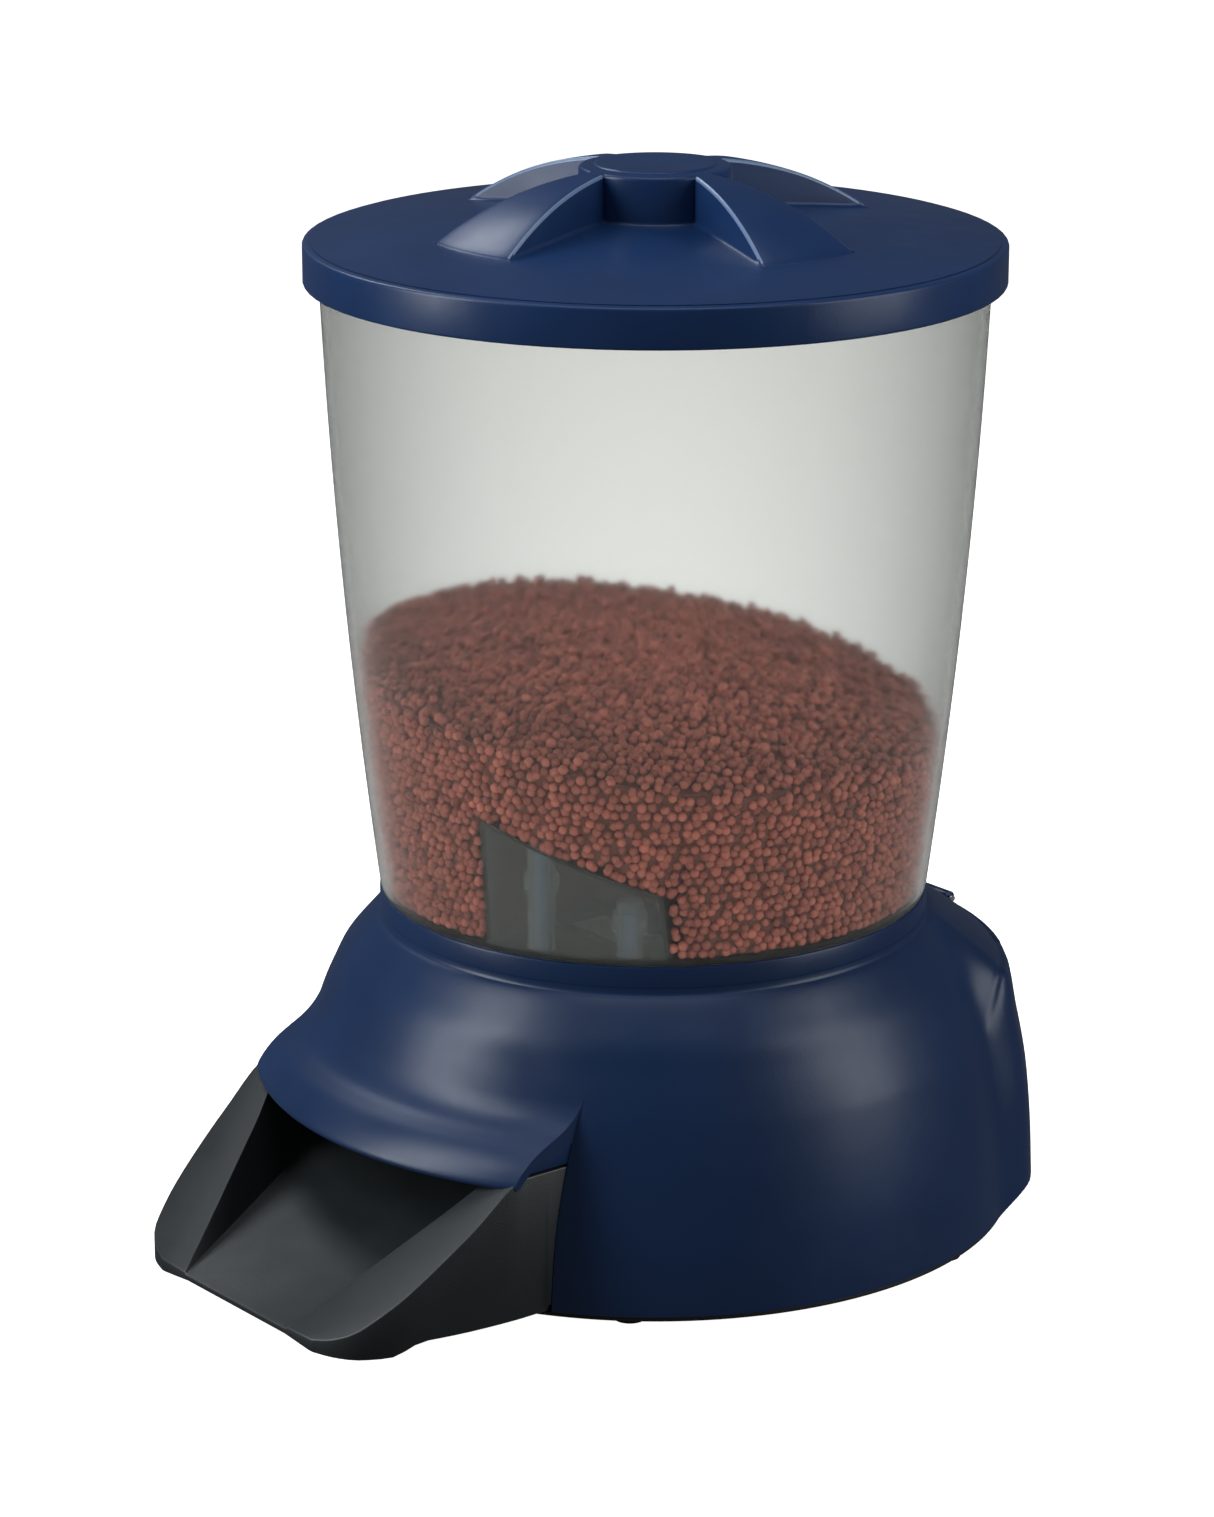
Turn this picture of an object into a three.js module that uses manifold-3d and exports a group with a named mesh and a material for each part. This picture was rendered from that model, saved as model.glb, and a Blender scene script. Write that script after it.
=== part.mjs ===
// Automatic fish feeder: a clear hopper on a battery-driven dispensing base.
//
// Millimetres, +Z up. The feeder stands on z = 0, the chute points along -Y and
// the timer cover along +Y. Directions round the hopper axis are given as an
// azimuth, measured from -Y towards +X.

import * as THREE from 'three';
import { mergeVertices } from 'three/addons/utils/BufferGeometryUtils.js';
import Module from 'manifold-3d';

const manifold = await Module();
manifold.setup();

// ---------------------------------------------------------------- dimensions

const gap = 0.3;                 // air left between pieces that touch
const depthCentre = 25.65;       // hopper axis to the middle of the overall depth

const lidRadius = 133;
const skirtBottom = 367.3;
const skirtTop = 382.3;
const lidWall = 2.6;
const crossRadius = 90;          // reach of the four finger-grip arms
const crossHalfAngle = 14;       // degrees, each arm
const hubRadius = 29;
const capRadius = 23;
const capTop = 411.7;
const domeDrop = 23.8;           // fall of the cross from its middle to its tips

const hopperWall = 2.2;
const hopperRim = 376.3;
const hopperFoot = 129.3;
const hopperFloor = 130.5;
const floorBottom = 127.3;
const spigotRadius = 103.2;
const spigotWall = 2.4;
const spigotBottom = 120.5;

const neckTop = 129;
const neckRadius = 107;
const neckBore = 103.7;
const neckSeat = 121.3;          // the neck ring stands on the lip of the base here
const neckLedge = 119.8;
const neckBottom = 115.4;
const ledgeBore = 96;
const neckPlug = 104.6;          // outer radius of the ring below its seat
const baseBottom = 4;
const baseRadius = 142.6;

const chuteHalfWidth = 82.2;
const mouthHalfWidth = 82.5;     // opening cut in the base for the chute
const rampSlope = 0.3153;        // rise over run of the chute floor
const lipY = -202;

const plateBottom = 2;
const plateTop = 4.4;
const plateRim = 3.7;

const coverHalfWidth = 75;
const coverBottom = 11.1;
const coverTop = 98;
const coverHinge = { y: 138.6, z: 97.4, radius: 2.6 };

const deckBottom = 112;
const deckTop = 115;

const gearModule = 1;
const drumAxis = { y: -51, z: 92 };
const reductionAxis = { y: -27.3, z: 88 };
const motorAxis = { y: -2.3, z: 88 };
const drumTeeth = 36;
const smallTeeth = 12;
const largeTeeth = 40;
const motorTeeth = 10;
const drumRadius = 17.2;
const housingBore = 18;

const panelFront = 104.2;
const panelBack = 102;
const frameFront = 112;

const cell = { radius: 13, length: 50, z: 22 };
const hatch = { halfWidth: 58, near: 37, far: 97 };

// ------------------------------------------------------------------ materials

function plastic(color, roughness = 0.45) {
  return new THREE.MeshStandardMaterial({ color, roughness, metalness: 0 });
}

function metal(color, roughness = 0.35) {
  return new THREE.MeshStandardMaterial({ color, roughness, metalness: 1 });
}

function clear(color, opacity) {
  return new THREE.MeshStandardMaterial({ color, roughness: 0.35, transparent: true, opacity });
}

const look = {
  blue: plastic(0x1c2f63),
  black: plastic(0x1d2224, 0.55),
  frost: clear(0xc9cfc8, 0.4),
  clear: clear(0xd8e0dc, 0.35),
  feed: plastic(0x7b4136, 0.8),
  rubber: plastic(0x16181a, 0.85),
  white: plastic(0xd9d8d2),
  gear: plastic(0xcfcbb8, 0.5),
  steel: metal(0xa9adb2),
  brass: metal(0xb99a4e),
  board: plastic(0x2a6a41, 0.6),
  glass: plastic(0x8d9a86, 0.15),
  cell: plastic(0x2b2c30, 0.35),
};

// -------------------------------------------------------------------- helpers

const toRadians = THREE.MathUtils.degToRad;
const alongX = new THREE.Matrix4().makeBasis(
  new THREE.Vector3(0, 1, 0),
  new THREE.Vector3(0, 0, 1),
  new THREE.Vector3(1, 0, 0),
);

function box(x0, x1, y0, y1, z0, z1) {
  const shape = new THREE.BoxGeometry(x1 - x0, y1 - y0, z1 - z0);
  return shape.translate((x0 + x1) / 2, (y0 + y1) / 2, (z0 + z1) / 2);
}

// Outline points are [x, y]; the prism stands between z0 and z1.
function prismZ(points, z0, z1) {
  const shape = new THREE.Shape(points.map(([x, y]) => new THREE.Vector2(x, y)));
  const options = { depth: z1 - z0, bevelEnabled: false };
  return new THREE.ExtrudeGeometry(shape, options).translate(0, 0, z0);
}

// Outline points are [y, z]; the prism lies between x0 and x1.
function prismX(points, x0, x1) {
  return prismZ(points, x0, x1).applyMatrix4(alongX);
}

// Profile points are [radius, height], counter-clockwise, turned about Z.
function latheZ(profile, segments = 40) {
  const points = profile.map(([r, z]) => new THREE.Vector2(r, z));
  return new THREE.LatheGeometry(points, segments).rotateX(Math.PI / 2);
}

function ringZ(inner, outer, z0, z1, segments = 40) {
  const profile = [[inner, z0], [outer, z0], [outer, z1], [inner, z1], [inner, z0]];
  return carve(latheZ(profile, segments));
}

function latheX(profile, y, z, segments = 24) {
  return latheZ(profile, segments).applyMatrix4(alongX).translate(0, y, z);
}

function rodZ(radius, z0, z1, x = 0, y = 0, segments = 16) {
  const profile = [[0, z0], [radius, z0], [radius, z1], [0, z1]];
  return latheZ(profile, segments).translate(x, y, 0);
}

function rodX(radius, x0, x1, y, z, segments = 16) {
  return latheX([[0, x0], [radius, x0], [radius, x1], [0, x1]], y, z, segments);
}

function rodY(radius, y0, y1, x, z, segments = 16) {
  return rodZ(radius, -y1, -y0, 0, 0, segments).rotateX(Math.PI / 2).translate(x, 0, z);
}

// A closed surface of rings; every ring is a list of [x, y, z] of equal length.
function ringSurface(rings, closed) {
  const count = rings[0].length;
  const index = [];
  const last = closed ? rings.length : rings.length - 1;
  for (let ring = 0; ring < last; ring++) {
    const next = (ring + 1) % rings.length;
    for (let point = 0; point < count; point++) {
      const after = (point + 1) % count;
      const a = ring * count + point;
      const b = ring * count + after;
      const c = next * count + after;
      const d = next * count + point;
      index.push(a, d, c, a, c, b);
    }
  }
  const geometry = new THREE.BufferGeometry();
  geometry.setAttribute('position', new THREE.Float32BufferAttribute(rings.flat(2), 3));
  geometry.setIndex(index);
  return geometry;
}

// Turns a closed profile about Z while the profile may change with azimuth.
function sweepRound(profileAt, steps) {
  const rings = [];
  for (let step = 0; step < steps; step++) {
    const azimuth = 2 * Math.PI * step / steps;
    const point = ([r, z]) => [r * Math.sin(azimuth), -r * Math.cos(azimuth), z];
    rings.push(profileAt(azimuth).map(point));
  }
  return ringSurface(rings, true);
}

// Joins cross-sections of [x, z] points, one per station along Y, and caps the ends.
function loftY(stations) {
  const rings = stations.map(({ y, outline }) => outline.map(([x, z]) => [x, y, z]));
  const geometry = ringSurface(rings, false);
  const index = Array.from(geometry.index.array);
  const count = rings[0].length;
  const capAt = (station, offset, flip) => {
    const flat = stations[station].outline.map(([x, z]) => new THREE.Vector2(x, z));
    for (const [a, b, c] of THREE.ShapeUtils.triangulateShape(flat, [])) {
      index.push(offset + a, offset + (flip ? c : b), offset + (flip ? b : c));
    }
  };
  capAt(0, 0, false);
  capAt(stations.length - 1, (stations.length - 1) * count, true);
  geometry.setIndex(index);
  return geometry;
}

function solid(geometry) {
  const bare = geometry.clone();
  bare.deleteAttribute('normal');
  bare.deleteAttribute('uv');
  const merged = mergeVertices(bare, 1e-4);
  const triVerts = [];
  const corners = merged.index.array;
  for (let i = 0; i < corners.length; i += 3) {
    const [a, b, c] = [corners[i], corners[i + 1], corners[i + 2]];
    if (a !== b && b !== c && c !== a) triVerts.push(a, b, c);
  }
  const mesh = new manifold.Mesh({
    numProp: 3,
    vertProperties: merged.attributes.position.array,
    triVerts: new Uint32Array(triVerts),
  });
  return new manifold.Manifold(mesh);
}

// Adds, then keeps only what lies in keep, then cuts.
function carve(base, { add = [], keep = [], cut = [] } = {}) {
  let body = solid(base);
  for (const piece of add) body = body.add(solid(piece));
  for (const piece of keep) body = body.intersect(solid(piece));
  for (const piece of cut) body = body.subtract(solid(piece));
  const mesh = body.getMesh();
  const geometry = new THREE.BufferGeometry();
  geometry.setAttribute('position', new THREE.BufferAttribute(mesh.vertProperties, 3));
  geometry.setIndex(new THREE.BufferAttribute(mesh.triVerts, 1));
  return geometry;
}

const feeder = new THREE.Group();
feeder.position.y = depthCentre;

function part(name, geometry, material) {
  const mesh = new THREE.Mesh(geometry, material);
  mesh.name = name;
  feeder.add(mesh);
}

function mirrored(x) {
  return [-x, x];
}

// ------------------------------------------------------------------------ lid

function domeHeight(r) {
  return capTop - 0.2 - (r / crossRadius) ** 2.6 * domeDrop;
}

function deckHeight(r) {
  return 393.5 - (r / 131) ** 1.4 * 10.5;
}

// The raised cross: a hub and four arms, drawn in by `inset` for its hollow.
function crossPlan(inset, z0, z1) {
  const spread = Math.tan(toRadians(crossHalfAngle));
  const start = inset / spread;
  const reach = crossRadius + 5;
  const arms = [0, 1, 2, 3].map((quarter) => {
    const halfWidth = reach * spread - inset;
    const wedge = prismZ([[start, 0], [reach, -halfWidth], [reach, halfWidth]], z0, z1);
    return wedge.rotateZ(quarter * Math.PI / 2);
  });
  return carve(rodZ(hubRadius - inset, z0, z1, 0, 0, 24), { add: arms });
}

function domeBlock(drop, floor, radius) {
  const profile = [[0, floor], [radius, floor]];
  for (const r of [radius, radius * 0.85, radius * 0.65, radius * 0.4, 0]) {
    profile.push([r, domeHeight(r) - drop]);
  }
  return latheZ(profile, 32);
}

function lidShell() {
  const rim = lidRadius - 2.2;
  const top = [130, 90, 45, 0].map((r) => [r, deckHeight(r)]);
  const under = [0, 70, 129].map((r) => [r, deckHeight(r) - lidWall]);
  const profile = [
    ...under,
    [rim, skirtTop - lidWall - 0.6],
    [rim, skirtBottom],
    [lidRadius, skirtBottom],
    [lidRadius, skirtTop - 1.3],
    [lidRadius - 0.5, skirtTop - 0.2],
    ...top,
  ];
  return latheZ(profile, 40);
}

function buildLid() {
  const crossTop = carve(domeBlock(0, 386, crossRadius), { keep: [crossPlan(0, 380, 420)] });
  const hollowBlock = domeBlock(lidWall, 375, crossRadius - 4);
  const hollow = carve(hollowBlock, { keep: [crossPlan(lidWall, 370, 420)] });
  const capSide = [[capRadius, 405], [capRadius, capTop - 0.8], [capRadius - 1, capTop]];
  const cap = latheZ([[0, 405], ...capSide, [0, capTop]], 24);
  part('lid', carve(lidShell(), { add: [crossTop, cap], cut: [hollow] }), look.blue);

  const sealTop = deckHeight(129) - lidWall - 2 * gap;
  const sealBottom = hopperRim + gap;
  part('lid_seal', ringZ(121.5, 129, sealBottom, sealTop, 32), look.rubber);
}

// --------------------------------------------------------------------- hopper

function hopperRadius(z) {
  const drop = 370 - z;
  return 127 - 0.04 * drop - 0.000185 * drop * drop;
}

const wallStations = [150, 215, 290, hopperRim];
const outlet = { x0: 20, x1: 54, y0: -62, y1: -40 };
const hoodFacing = toRadians(35);

function cavityBlock(clearance, z0, z1) {
  const inside = (z) => hopperRadius(z) - hopperWall - clearance;
  const side = wallStations.filter((z) => z > z0 && z < z1).map((z) => [inside(z), z]);
  return latheZ([[0, z0], [inside(z0), z0], ...side, [inside(z1), z1], [0, z1]], 40);
}

function buildHopper() {
  const outside = wallStations.map((z) => [hopperRadius(z), z]);
  const inside = wallStations.map((z) => [hopperRadius(z) - hopperWall, z]).reverse();
  const footInside = hopperRadius(hopperFoot) - hopperWall;
  const foot = [[footInside, hopperFoot], [hopperRadius(hopperFoot), hopperFoot]];
  part('hopper', carve(latheZ([...foot, ...outside, ...inside, foot[0]], 40)), look.frost);

  const floorProfile = [
    [0, floorBottom], [spigotRadius, floorBottom], [spigotRadius, hopperFoot],
    [footInside - gap, hopperFoot], [footInside - gap, hopperFloor], [0, hopperFloor],
  ];
  const slot = box(outlet.x0, outlet.x1, outlet.y0, outlet.y1, 120, 135);
  part('hopper_floor', carve(latheZ(floorProfile, 40), { cut: [slot] }), look.frost);
  const spigot = ringZ(spigotRadius - spigotWall, spigotRadius, spigotBottom, floorBottom - gap);
  part('hopper_spigot', spigot, look.frost);
}

// The hood's outline seen from its front: across the hood, then height.
function hoodBlock(grow, inner, outer, floor) {
  const outline = [
    [-37.5 - grow, floor],
    [34 + grow, floor],
    [32 + grow, 157 + grow],
    [-38 - grow, 181 + grow],
  ];
  const block = prismX(outline, inner, outer).rotateZ(-Math.PI / 2);
  return block.rotateZ(hoodFacing);
}

const hoodBosses = [
  { name: 'hood_screw_left', x: 40.6, y: -87, top: 172 },
  { name: 'hood_screw_right', x: 68.4, y: -67.4, top: 152 },
];

function buildHood() {
  const floor = hopperFloor + gap;
  const bosses = hoodBosses.map(({ x, y, top }) => rodZ(6.5, floor, top, x, y, 20));
  const bores = hoodBosses.map(({ x, y, top }) => rodZ(3.2, floor - 1, top + 1, x, y, 12));
  const hollow = carve(hoodBlock(-2, 38, 130, floor - 5), { keep: [cavityBlock(2.6, floor - 4, 220)] });
  const shell = carve(hoodBlock(0, 40, 130, floor), {
    keep: [cavityBlock(0.5, floor - 0.1, 220)],
    cut: [hollow],
  });
  const hood = carve(shell, { add: bosses, keep: [cavityBlock(0.5, floor, 220)], cut: bores });
  part('outlet_hood', hood, look.clear);
  for (const { name, x, y, top } of hoodBosses) {
    part(name, carve(rodZ(2.6, floor, top - 4, x, y, 12)), look.blue);
  }
}

function feedHeight(r, azimuth) {
  const atWall = 212 - 20 * Math.cos(azimuth - toRadians(80));
  return 247 - (247 - atWall) * (Math.min(r, 116) / 116) ** 1.8;
}

function buildFeed() {
  const floor = hopperFloor + gap;
  const profileAt = (azimuth) => {
    const surface = [130, 108, 80, 45, 0].map((r) => [r, feedHeight(r, azimuth)]);
    return [[0, floor], [130, floor], ...surface];
  };
  const hoodSpace = hoodBlock(0.6, 39, 140, floor - 2);
  const heap = carve(sweepRound(profileAt, 24), { keep: [cavityBlock(0.6, floor, 300)], cut: [hoodSpace] });
  part('pellet_feed', heap, look.feed);
}

// ----------------------------------------------------------------------- base

const domeOutside = [
  [baseRadius, baseBottom], [142.3, 9], [141.8, 18], [140.5, 35], [137.5, 55], [134, 72],
  [130, 85.2], [126.3, 93.4], [122.3, 101.5], [115.8, 109.5], [108.6, 117.2], [neckRadius, 118.2],
];
const bulgeOutside = [
  [baseRadius, baseBottom], [baseRadius, 10.2], [150.7, 10.8], [148.7, 44.7], [146.8, 61.4], [143.3, 77.9],
  [138.9, 96.6], [136.2, 98.4], [132.5, 102], [122, 109.5], [111.5, 117.2], [neckRadius, 118.9],
];
const baseLip = [
  [neckRadius, neckSeat - gap], [neckPlug + gap, neckSeat - gap], [neckPlug + gap, neckBottom],
];
const domeInside = [
  [106.6, neckBottom], [113.6, 107.9], [119.8, 100.2], [124, 92.1], [131.4, 71.3], [137.9, 34.7],
  [139.9, 9], [140, 6], [140, baseBottom],
];
const bulgeInside = [
  [106.6, neckBottom], [110.5, 114.6], [120.5, 107.2], [129.8, 100.4], [136.2, 95.6], [144.2, 61],
  [148, 13.6], [140, 13.4], [140, baseBottom],
];

// 0 on the round dome, 1 on the rear bulge that holds the timer.
function bulgeShare(azimuth) {
  const fromRear = Math.abs(azimuth - Math.PI);
  return 1 - THREE.MathUtils.smoothstep(fromRear, toRadians(46), toRadians(57));
}

function blendProfiles(from, to, share) {
  return from.map(([r, z], i) => [r + (to[i][0] - r) * share, z + (to[i][1] - z) * share]);
}

function baseRing() {
  return sweepRound((azimuth) => {
    const share = bulgeShare(azimuth);
    const outside = blendProfiles(domeOutside, bulgeOutside, share);
    const inside = blendProfiles(domeInside, bulgeInside, share);
    return [...outside, ...baseLip, ...inside];
  }, 48);
}

const visorProfile = [
  [132.8, 69], [134.5, 68.6], [143.5, 65.6], [151.8, 59.5], [154, 56.6], [156.2, 56.4],
  [156.6, 58.6], [154.6, 61.6], [151, 65.2], [144.5, 69.3], [135, 72.2], [132.8, 73.5],
];
const visorSideClearance = 61.2;

function buildVisor() {
  const ring = sweepRound(() => visorProfile, 48);
  const front = box(-chuteHalfWidth, chuteHalfWidth, -170, -80, 40, 90);
  const sides = mirrored(74).map((x) => box(x - 10, x + 10, -170, -80, 40, visorSideClearance));
  return carve(ring, { keep: [front], cut: sides });
}

// Small upright web that closes each side under the visor.
function cheek(side) {
  const outline = [[-102, 61.2], [-102, 74], [-108, 71.5], [-124, 65.5], [-129.5, 61.2]].reverse();
  const inner = side < 0 ? -chuteHalfWidth : chuteHalfWidth - 2.4;
  return prismX(outline, inner, inner + 2.4);
}

const postPlaces = [[90, -70], [-90, -70], [98, 58], [-98, 58]];
const deckScrewPlaces = [[-99.2, 0], [99.2, 0]];

function buildBase() {
  const posts = postPlaces.map(([x, y]) => rodZ(4.5, 7, 105.5, x, y, 12));
  const pilots = postPlaces.map(([x, y]) => rodZ(2, 6, 30, x, y, 10));
  const mouth = box(-mouthHalfWidth, mouthHalfWidth, -160, -60, 0, 66.5);
  const doorHalf = coverHalfWidth + gap;
  const rearDoor = box(-doorHalf, doorHalf, 100, 160, coverBottom - gap, coverTop + gap);
  const lug = rodX(coverHinge.radius, -11.5, 11.5, coverHinge.y, coverHinge.z, 16);
  const lugWeb = box(-11.5, 11.5, 133, 137.5, coverTop - 0.6, 101);
  const lugBore = rodX(1.5, -30, 30, coverHinge.y, coverHinge.z, 12);
  const open = carve(baseRing(), { cut: [mouth, rearDoor] });
  const shell = carve(open, {
    add: [buildVisor(), cheek(-1), cheek(1), lug, lugWeb, ...posts],
    cut: [...pilots, lugBore],
  });
  part('base_shell', shell, look.blue);
}

// The collar that takes the hopper's spigot; its ledge carries the mechanism deck.
function buildNeck() {
  const profile = [
    [neckPlug, neckBottom], [neckPlug, neckSeat], [neckRadius, neckSeat], [neckRadius, neckTop],
    [neckBore, neckTop], [neckBore, neckLedge], [ledgeBore, neckLedge], [ledgeBore, neckBottom],
    [neckPlug, neckBottom],
  ];
  const pilots = deckScrewPlaces.map(([x, y]) => rodZ(1.8, 114, 118.5, x, y, 10));
  part('neck_ring', carve(latheZ(profile, 40), { cut: pilots }), look.blue);
}

const footPlaces = [[97.5, -91], [-97.5, -91], [127.5, 40.5], [-127.5, 40.5], [75, 111], [-75, 111]];

function buildBasePlate() {
  const profile = [
    [0, plateBottom], [141.5, plateBottom], [141.5, plateRim],
    [138.5, plateRim], [138.5, plateTop], [0, plateTop],
  ];
  const footHoles = footPlaces.map(([x, y]) => rodZ(3.1, 0, 10, x, y, 12));
  const screwHoles = postPlaces.map(([x, y]) => rodZ(2, 0, 10, x, y, 12));
  const headSeats = postPlaces.map(([x, y]) => rodZ(4, 0, 4.2, x, y, 12));
  const hatchHole = box(-hatch.halfWidth, hatch.halfWidth, hatch.near, hatch.far, 0, 10);
  const plate = carve(latheZ(profile, 40), { cut: [hatchHole, ...footHoles, ...screwHoles, ...headSeats] });
  part('base_plate', plate, look.black);

  footPlaces.forEach(([x, y], i) => {
    const foot = latheZ([[0, 0], [5.6, 0], [6.5, 0.9], [6.5, 1.7], [2.8, 1.7], [2.8, 6.5], [0, 6.5]], 12);
    part(`foot_${i + 1}`, carve(foot.translate(x, y, 0)), look.rubber);
  });
  postPlaces.forEach(([x, y], i) => {
    const screw = latheZ([[0, 2.2], [3.5, 2.2], [3.5, 3.9], [1.7, 3.9], [1.7, 24], [0, 25.5]], 12);
    part(`base_screw_${i + 1}`, carve(screw.translate(x, y, 0)), look.steel);
  });
}

// ---------------------------------------------------------------------- chute

function rampHeight(y) {
  return 4 + (y - lipY) * rampSlope;
}

// Half a cross-section, mirrored: foot, wall top, inner edge, floor, then the underside.
function chuteSection({ y, outer, foot, top, inner, innerTop, floorHalf }) {
  const floor = rampHeight(y);
  const skinBelow = 2.4;
  const right = [
    [outer, foot],
    [outer, top],
    [inner, innerTop],
    [floorHalf, floor],
  ];
  const below = [
    [floorHalf - 1, floor - skinBelow],
    [outer - skinBelow, foot],
  ];
  const left = right.map(([x, z]) => [-x, z]).reverse();
  const belowLeft = below.map(([x, z]) => [-x, z]).reverse();
  return { y, outline: [...right, ...left, ...belowLeft, ...below] };
}

// From the lip inwards: y, outer half width, foot, wall top, inner half width, floor half width.
const wallKeys = [
  [lipY, 49, 0.2, 5.2, 33.5, 32.5],
  [-199, 58, 0.2, 7.4, 35, 34],
  [-194, 65.5, 0.2, 11, 37.6, 35.8],
  [-186, 70.5, 0.2, 17, 41.6, 38.8],
  [-178, 74, 2, 23, 45.7, 41.6],
  [-165, 77.5, 5, 33.2, 52.3, 46.4],
  [-150, 80.3, 5, 44.8, 59.9, 51.8],
  [-130, chuteHalfWidth, 5, 60.2, 70, 59],
  [-119, chuteHalfWidth, 5, 60.2, 70, 61],
  [-117, chuteHalfWidth, 7, 60.2, 70, 61],
  [-97, chuteHalfWidth, 7, 60.2, 70, 61],
];

function buildChute() {
  const walls = wallKeys.map(([y, outer, foot, top, inner, floorHalf]) => {
    return chuteSection({ y, outer, foot, top, inner, innerTop: top - 0.4, floorHalf });
  });
  const ramps = [-95, -46].map((y) => {
    const top = Math.min(rampHeight(y) + 9, 54.8);
    return chuteSection({
      y,
      outer: 64.5,
      foot: rampHeight(y) - 2,
      top,
      inner: 62.5,
      innerTop: top,
      floorHalf: 62,
    });
  });
  part('chute', carve(loftY([...walls, ...ramps])), look.black);
}

// ---------------------------------------------------------------- timer cover

function buildTimerCover() {
  const window = box(-coverHalfWidth, coverHalfWidth, 100, 160, coverBottom, coverTop - 0.8);
  const notch = box(-12, 12, 130, 150, 94.2, 110);
  const knuckles = mirrored(17).map((x) => {
    return rodX(coverHinge.radius, x - 5, x + 5, coverHinge.y, coverHinge.z, 16);
  });
  const bore = rodX(1.5, -30, 30, coverHinge.y, coverHinge.z, 12);
  const skinPatch = carve(baseRing(), { keep: [window], cut: [notch] });
  part('timer_cover', carve(skinPatch, { add: knuckles, cut: [bore] }), look.blue);
  part('cover_hinge_pin', carve(rodX(1.2, -24, 24, coverHinge.y, coverHinge.z, 12)), look.steel);
}

const buttonPlaces = [-45, -15, 15, 45];
const buttonHeight = 40;

function buildControls() {
  const plate = box(-72, 72, panelBack, panelFront, 12.5, 96);
  const windowHole = box(-30, 30, 95, 110, 63, 85);
  const windowSeat = box(-33.3, 33.3, 103.4, 110, 59.7, 88.3);
  const holes = buttonPlaces.map((x) => rodY(6.3, 95, 110, x, buttonHeight));
  const legs = mirrored(66).map((x) => box(x - 4, x + 4, panelBack, panelFront, plateTop + gap, 14));
  part('control_panel', carve(plate, { add: legs, cut: [windowHole, windowSeat, ...holes] }), look.black);
  const surround = box(-72, 72, panelFront + gap, frameFront, 12.5, 96);
  const room = box(-70, 70, 100, 120, 14.5, 94);
  part('panel_frame', carve(surround, { cut: [room] }), look.black);
  part('lcd_window', carve(box(-33, 33, 103.7, 105, 60, 88)), look.glass);

  const frame = box(-32, 32, 94, 101.6, 60, 88);
  part('lcd_module', carve(frame, { cut: [box(-29.5, 29.5, 100.4, 103, 63.5, 84.5)] }), look.white);
  const chips = [
    box(-50, -36, 92.6, 95, 66, 80),
    box(38, 52, 92.6, 94.6, 62, 84),
    box(-20, 6, 88.6, 91.2, 54, 62),
  ];
  part('timer_board', carve(box(-62, 62, 91, 92.8, 50, 92), { add: chips }), look.board);
  buttonPlaces.forEach((x, i) => {
    const flange = rodY(7.6, 98.4, 101.6 - gap, x, buttonHeight);
    part(`button_${i + 1}`, carve(rodY(5.9, 98.4, 107, x, buttonHeight), { add: [flange] }), look.rubber);
  });
}

// -------------------------------------------------------------------- battery

const cellPlaces = [[-26, 53], [26, 53], [-26, 81], [26, 81]];

function buildBattery() {
  const outer = box(-57, 57, 38, 96, plateTop + 0.5, 37.5);
  const room = box(-55, 55, 39.6, 94.4, 2, 35.8);
  part('battery_tray', carve(outer, { cut: [room] }), look.black);
  cellPlaces.forEach(([x, y], i) => {
    const half = cell.length / 2;
    const towards = i % 2 === 0 ? -1 : 1;
    const can = rodX(cell.radius, x - half, x + half - 1.6, y, cell.z, 20);
    const nub = rodX(3.2, x + half - 2, x + half, y, cell.z, 10);
    const turned = carve(can, { add: [nub] });
    if (towards < 0) turned.translate(-x, 0, 0).rotateZ(Math.PI).translate(x, 2 * y, 0);
    part(`battery_${i + 1}`, turned, look.cell);
  });
  for (const [name, x] of [['battery_contact_left', -54.6], ['battery_contact_right', 54]]) {
    part(name, carve(box(x, x + 0.6, 43, 91, 12, 32)), look.brass);
  }
  const doorHalf = hatch.halfWidth - 0.4;
  const door = box(-doorHalf, doorHalf, hatch.near + 0.45, hatch.far - 0.4, plateBottom, plateRim);
  const rib = [[-50, -47.6], [47.6, 50]].map(([x0, x1]) => box(x0, x1, 46, 90, 3, 5.8));
  part('battery_door', carve(door, { add: rib }), look.black);
}

// ------------------------------------------------------------------ dispenser

function gearOutline(teeth, phase) {
  const pitch = teeth * gearModule / 2;
  const tip = pitch + 0.8 * gearModule;
  const root = pitch - 1.15 * gearModule;
  const step = 2 * Math.PI / teeth;
  const corners = [[root, -0.27], [tip, -0.1], [tip, 0.1], [root, 0.27]];
  const points = [];
  for (let tooth = 0; tooth < teeth; tooth++) {
    for (const [radius, offset] of corners) {
      const angle = phase + (tooth + offset) * step;
      points.push([radius * Math.cos(angle), radius * Math.sin(angle)]);
    }
  }
  return points;
}

function gear(teeth, phase, x0, x1, axis) {
  return prismX(gearOutline(teeth, phase), x0, x1).translate(0, axis.y, axis.z);
}

function bore(radius, axis) {
  return rodX(radius, -60, 80, axis.y, axis.z, 14);
}

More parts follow.
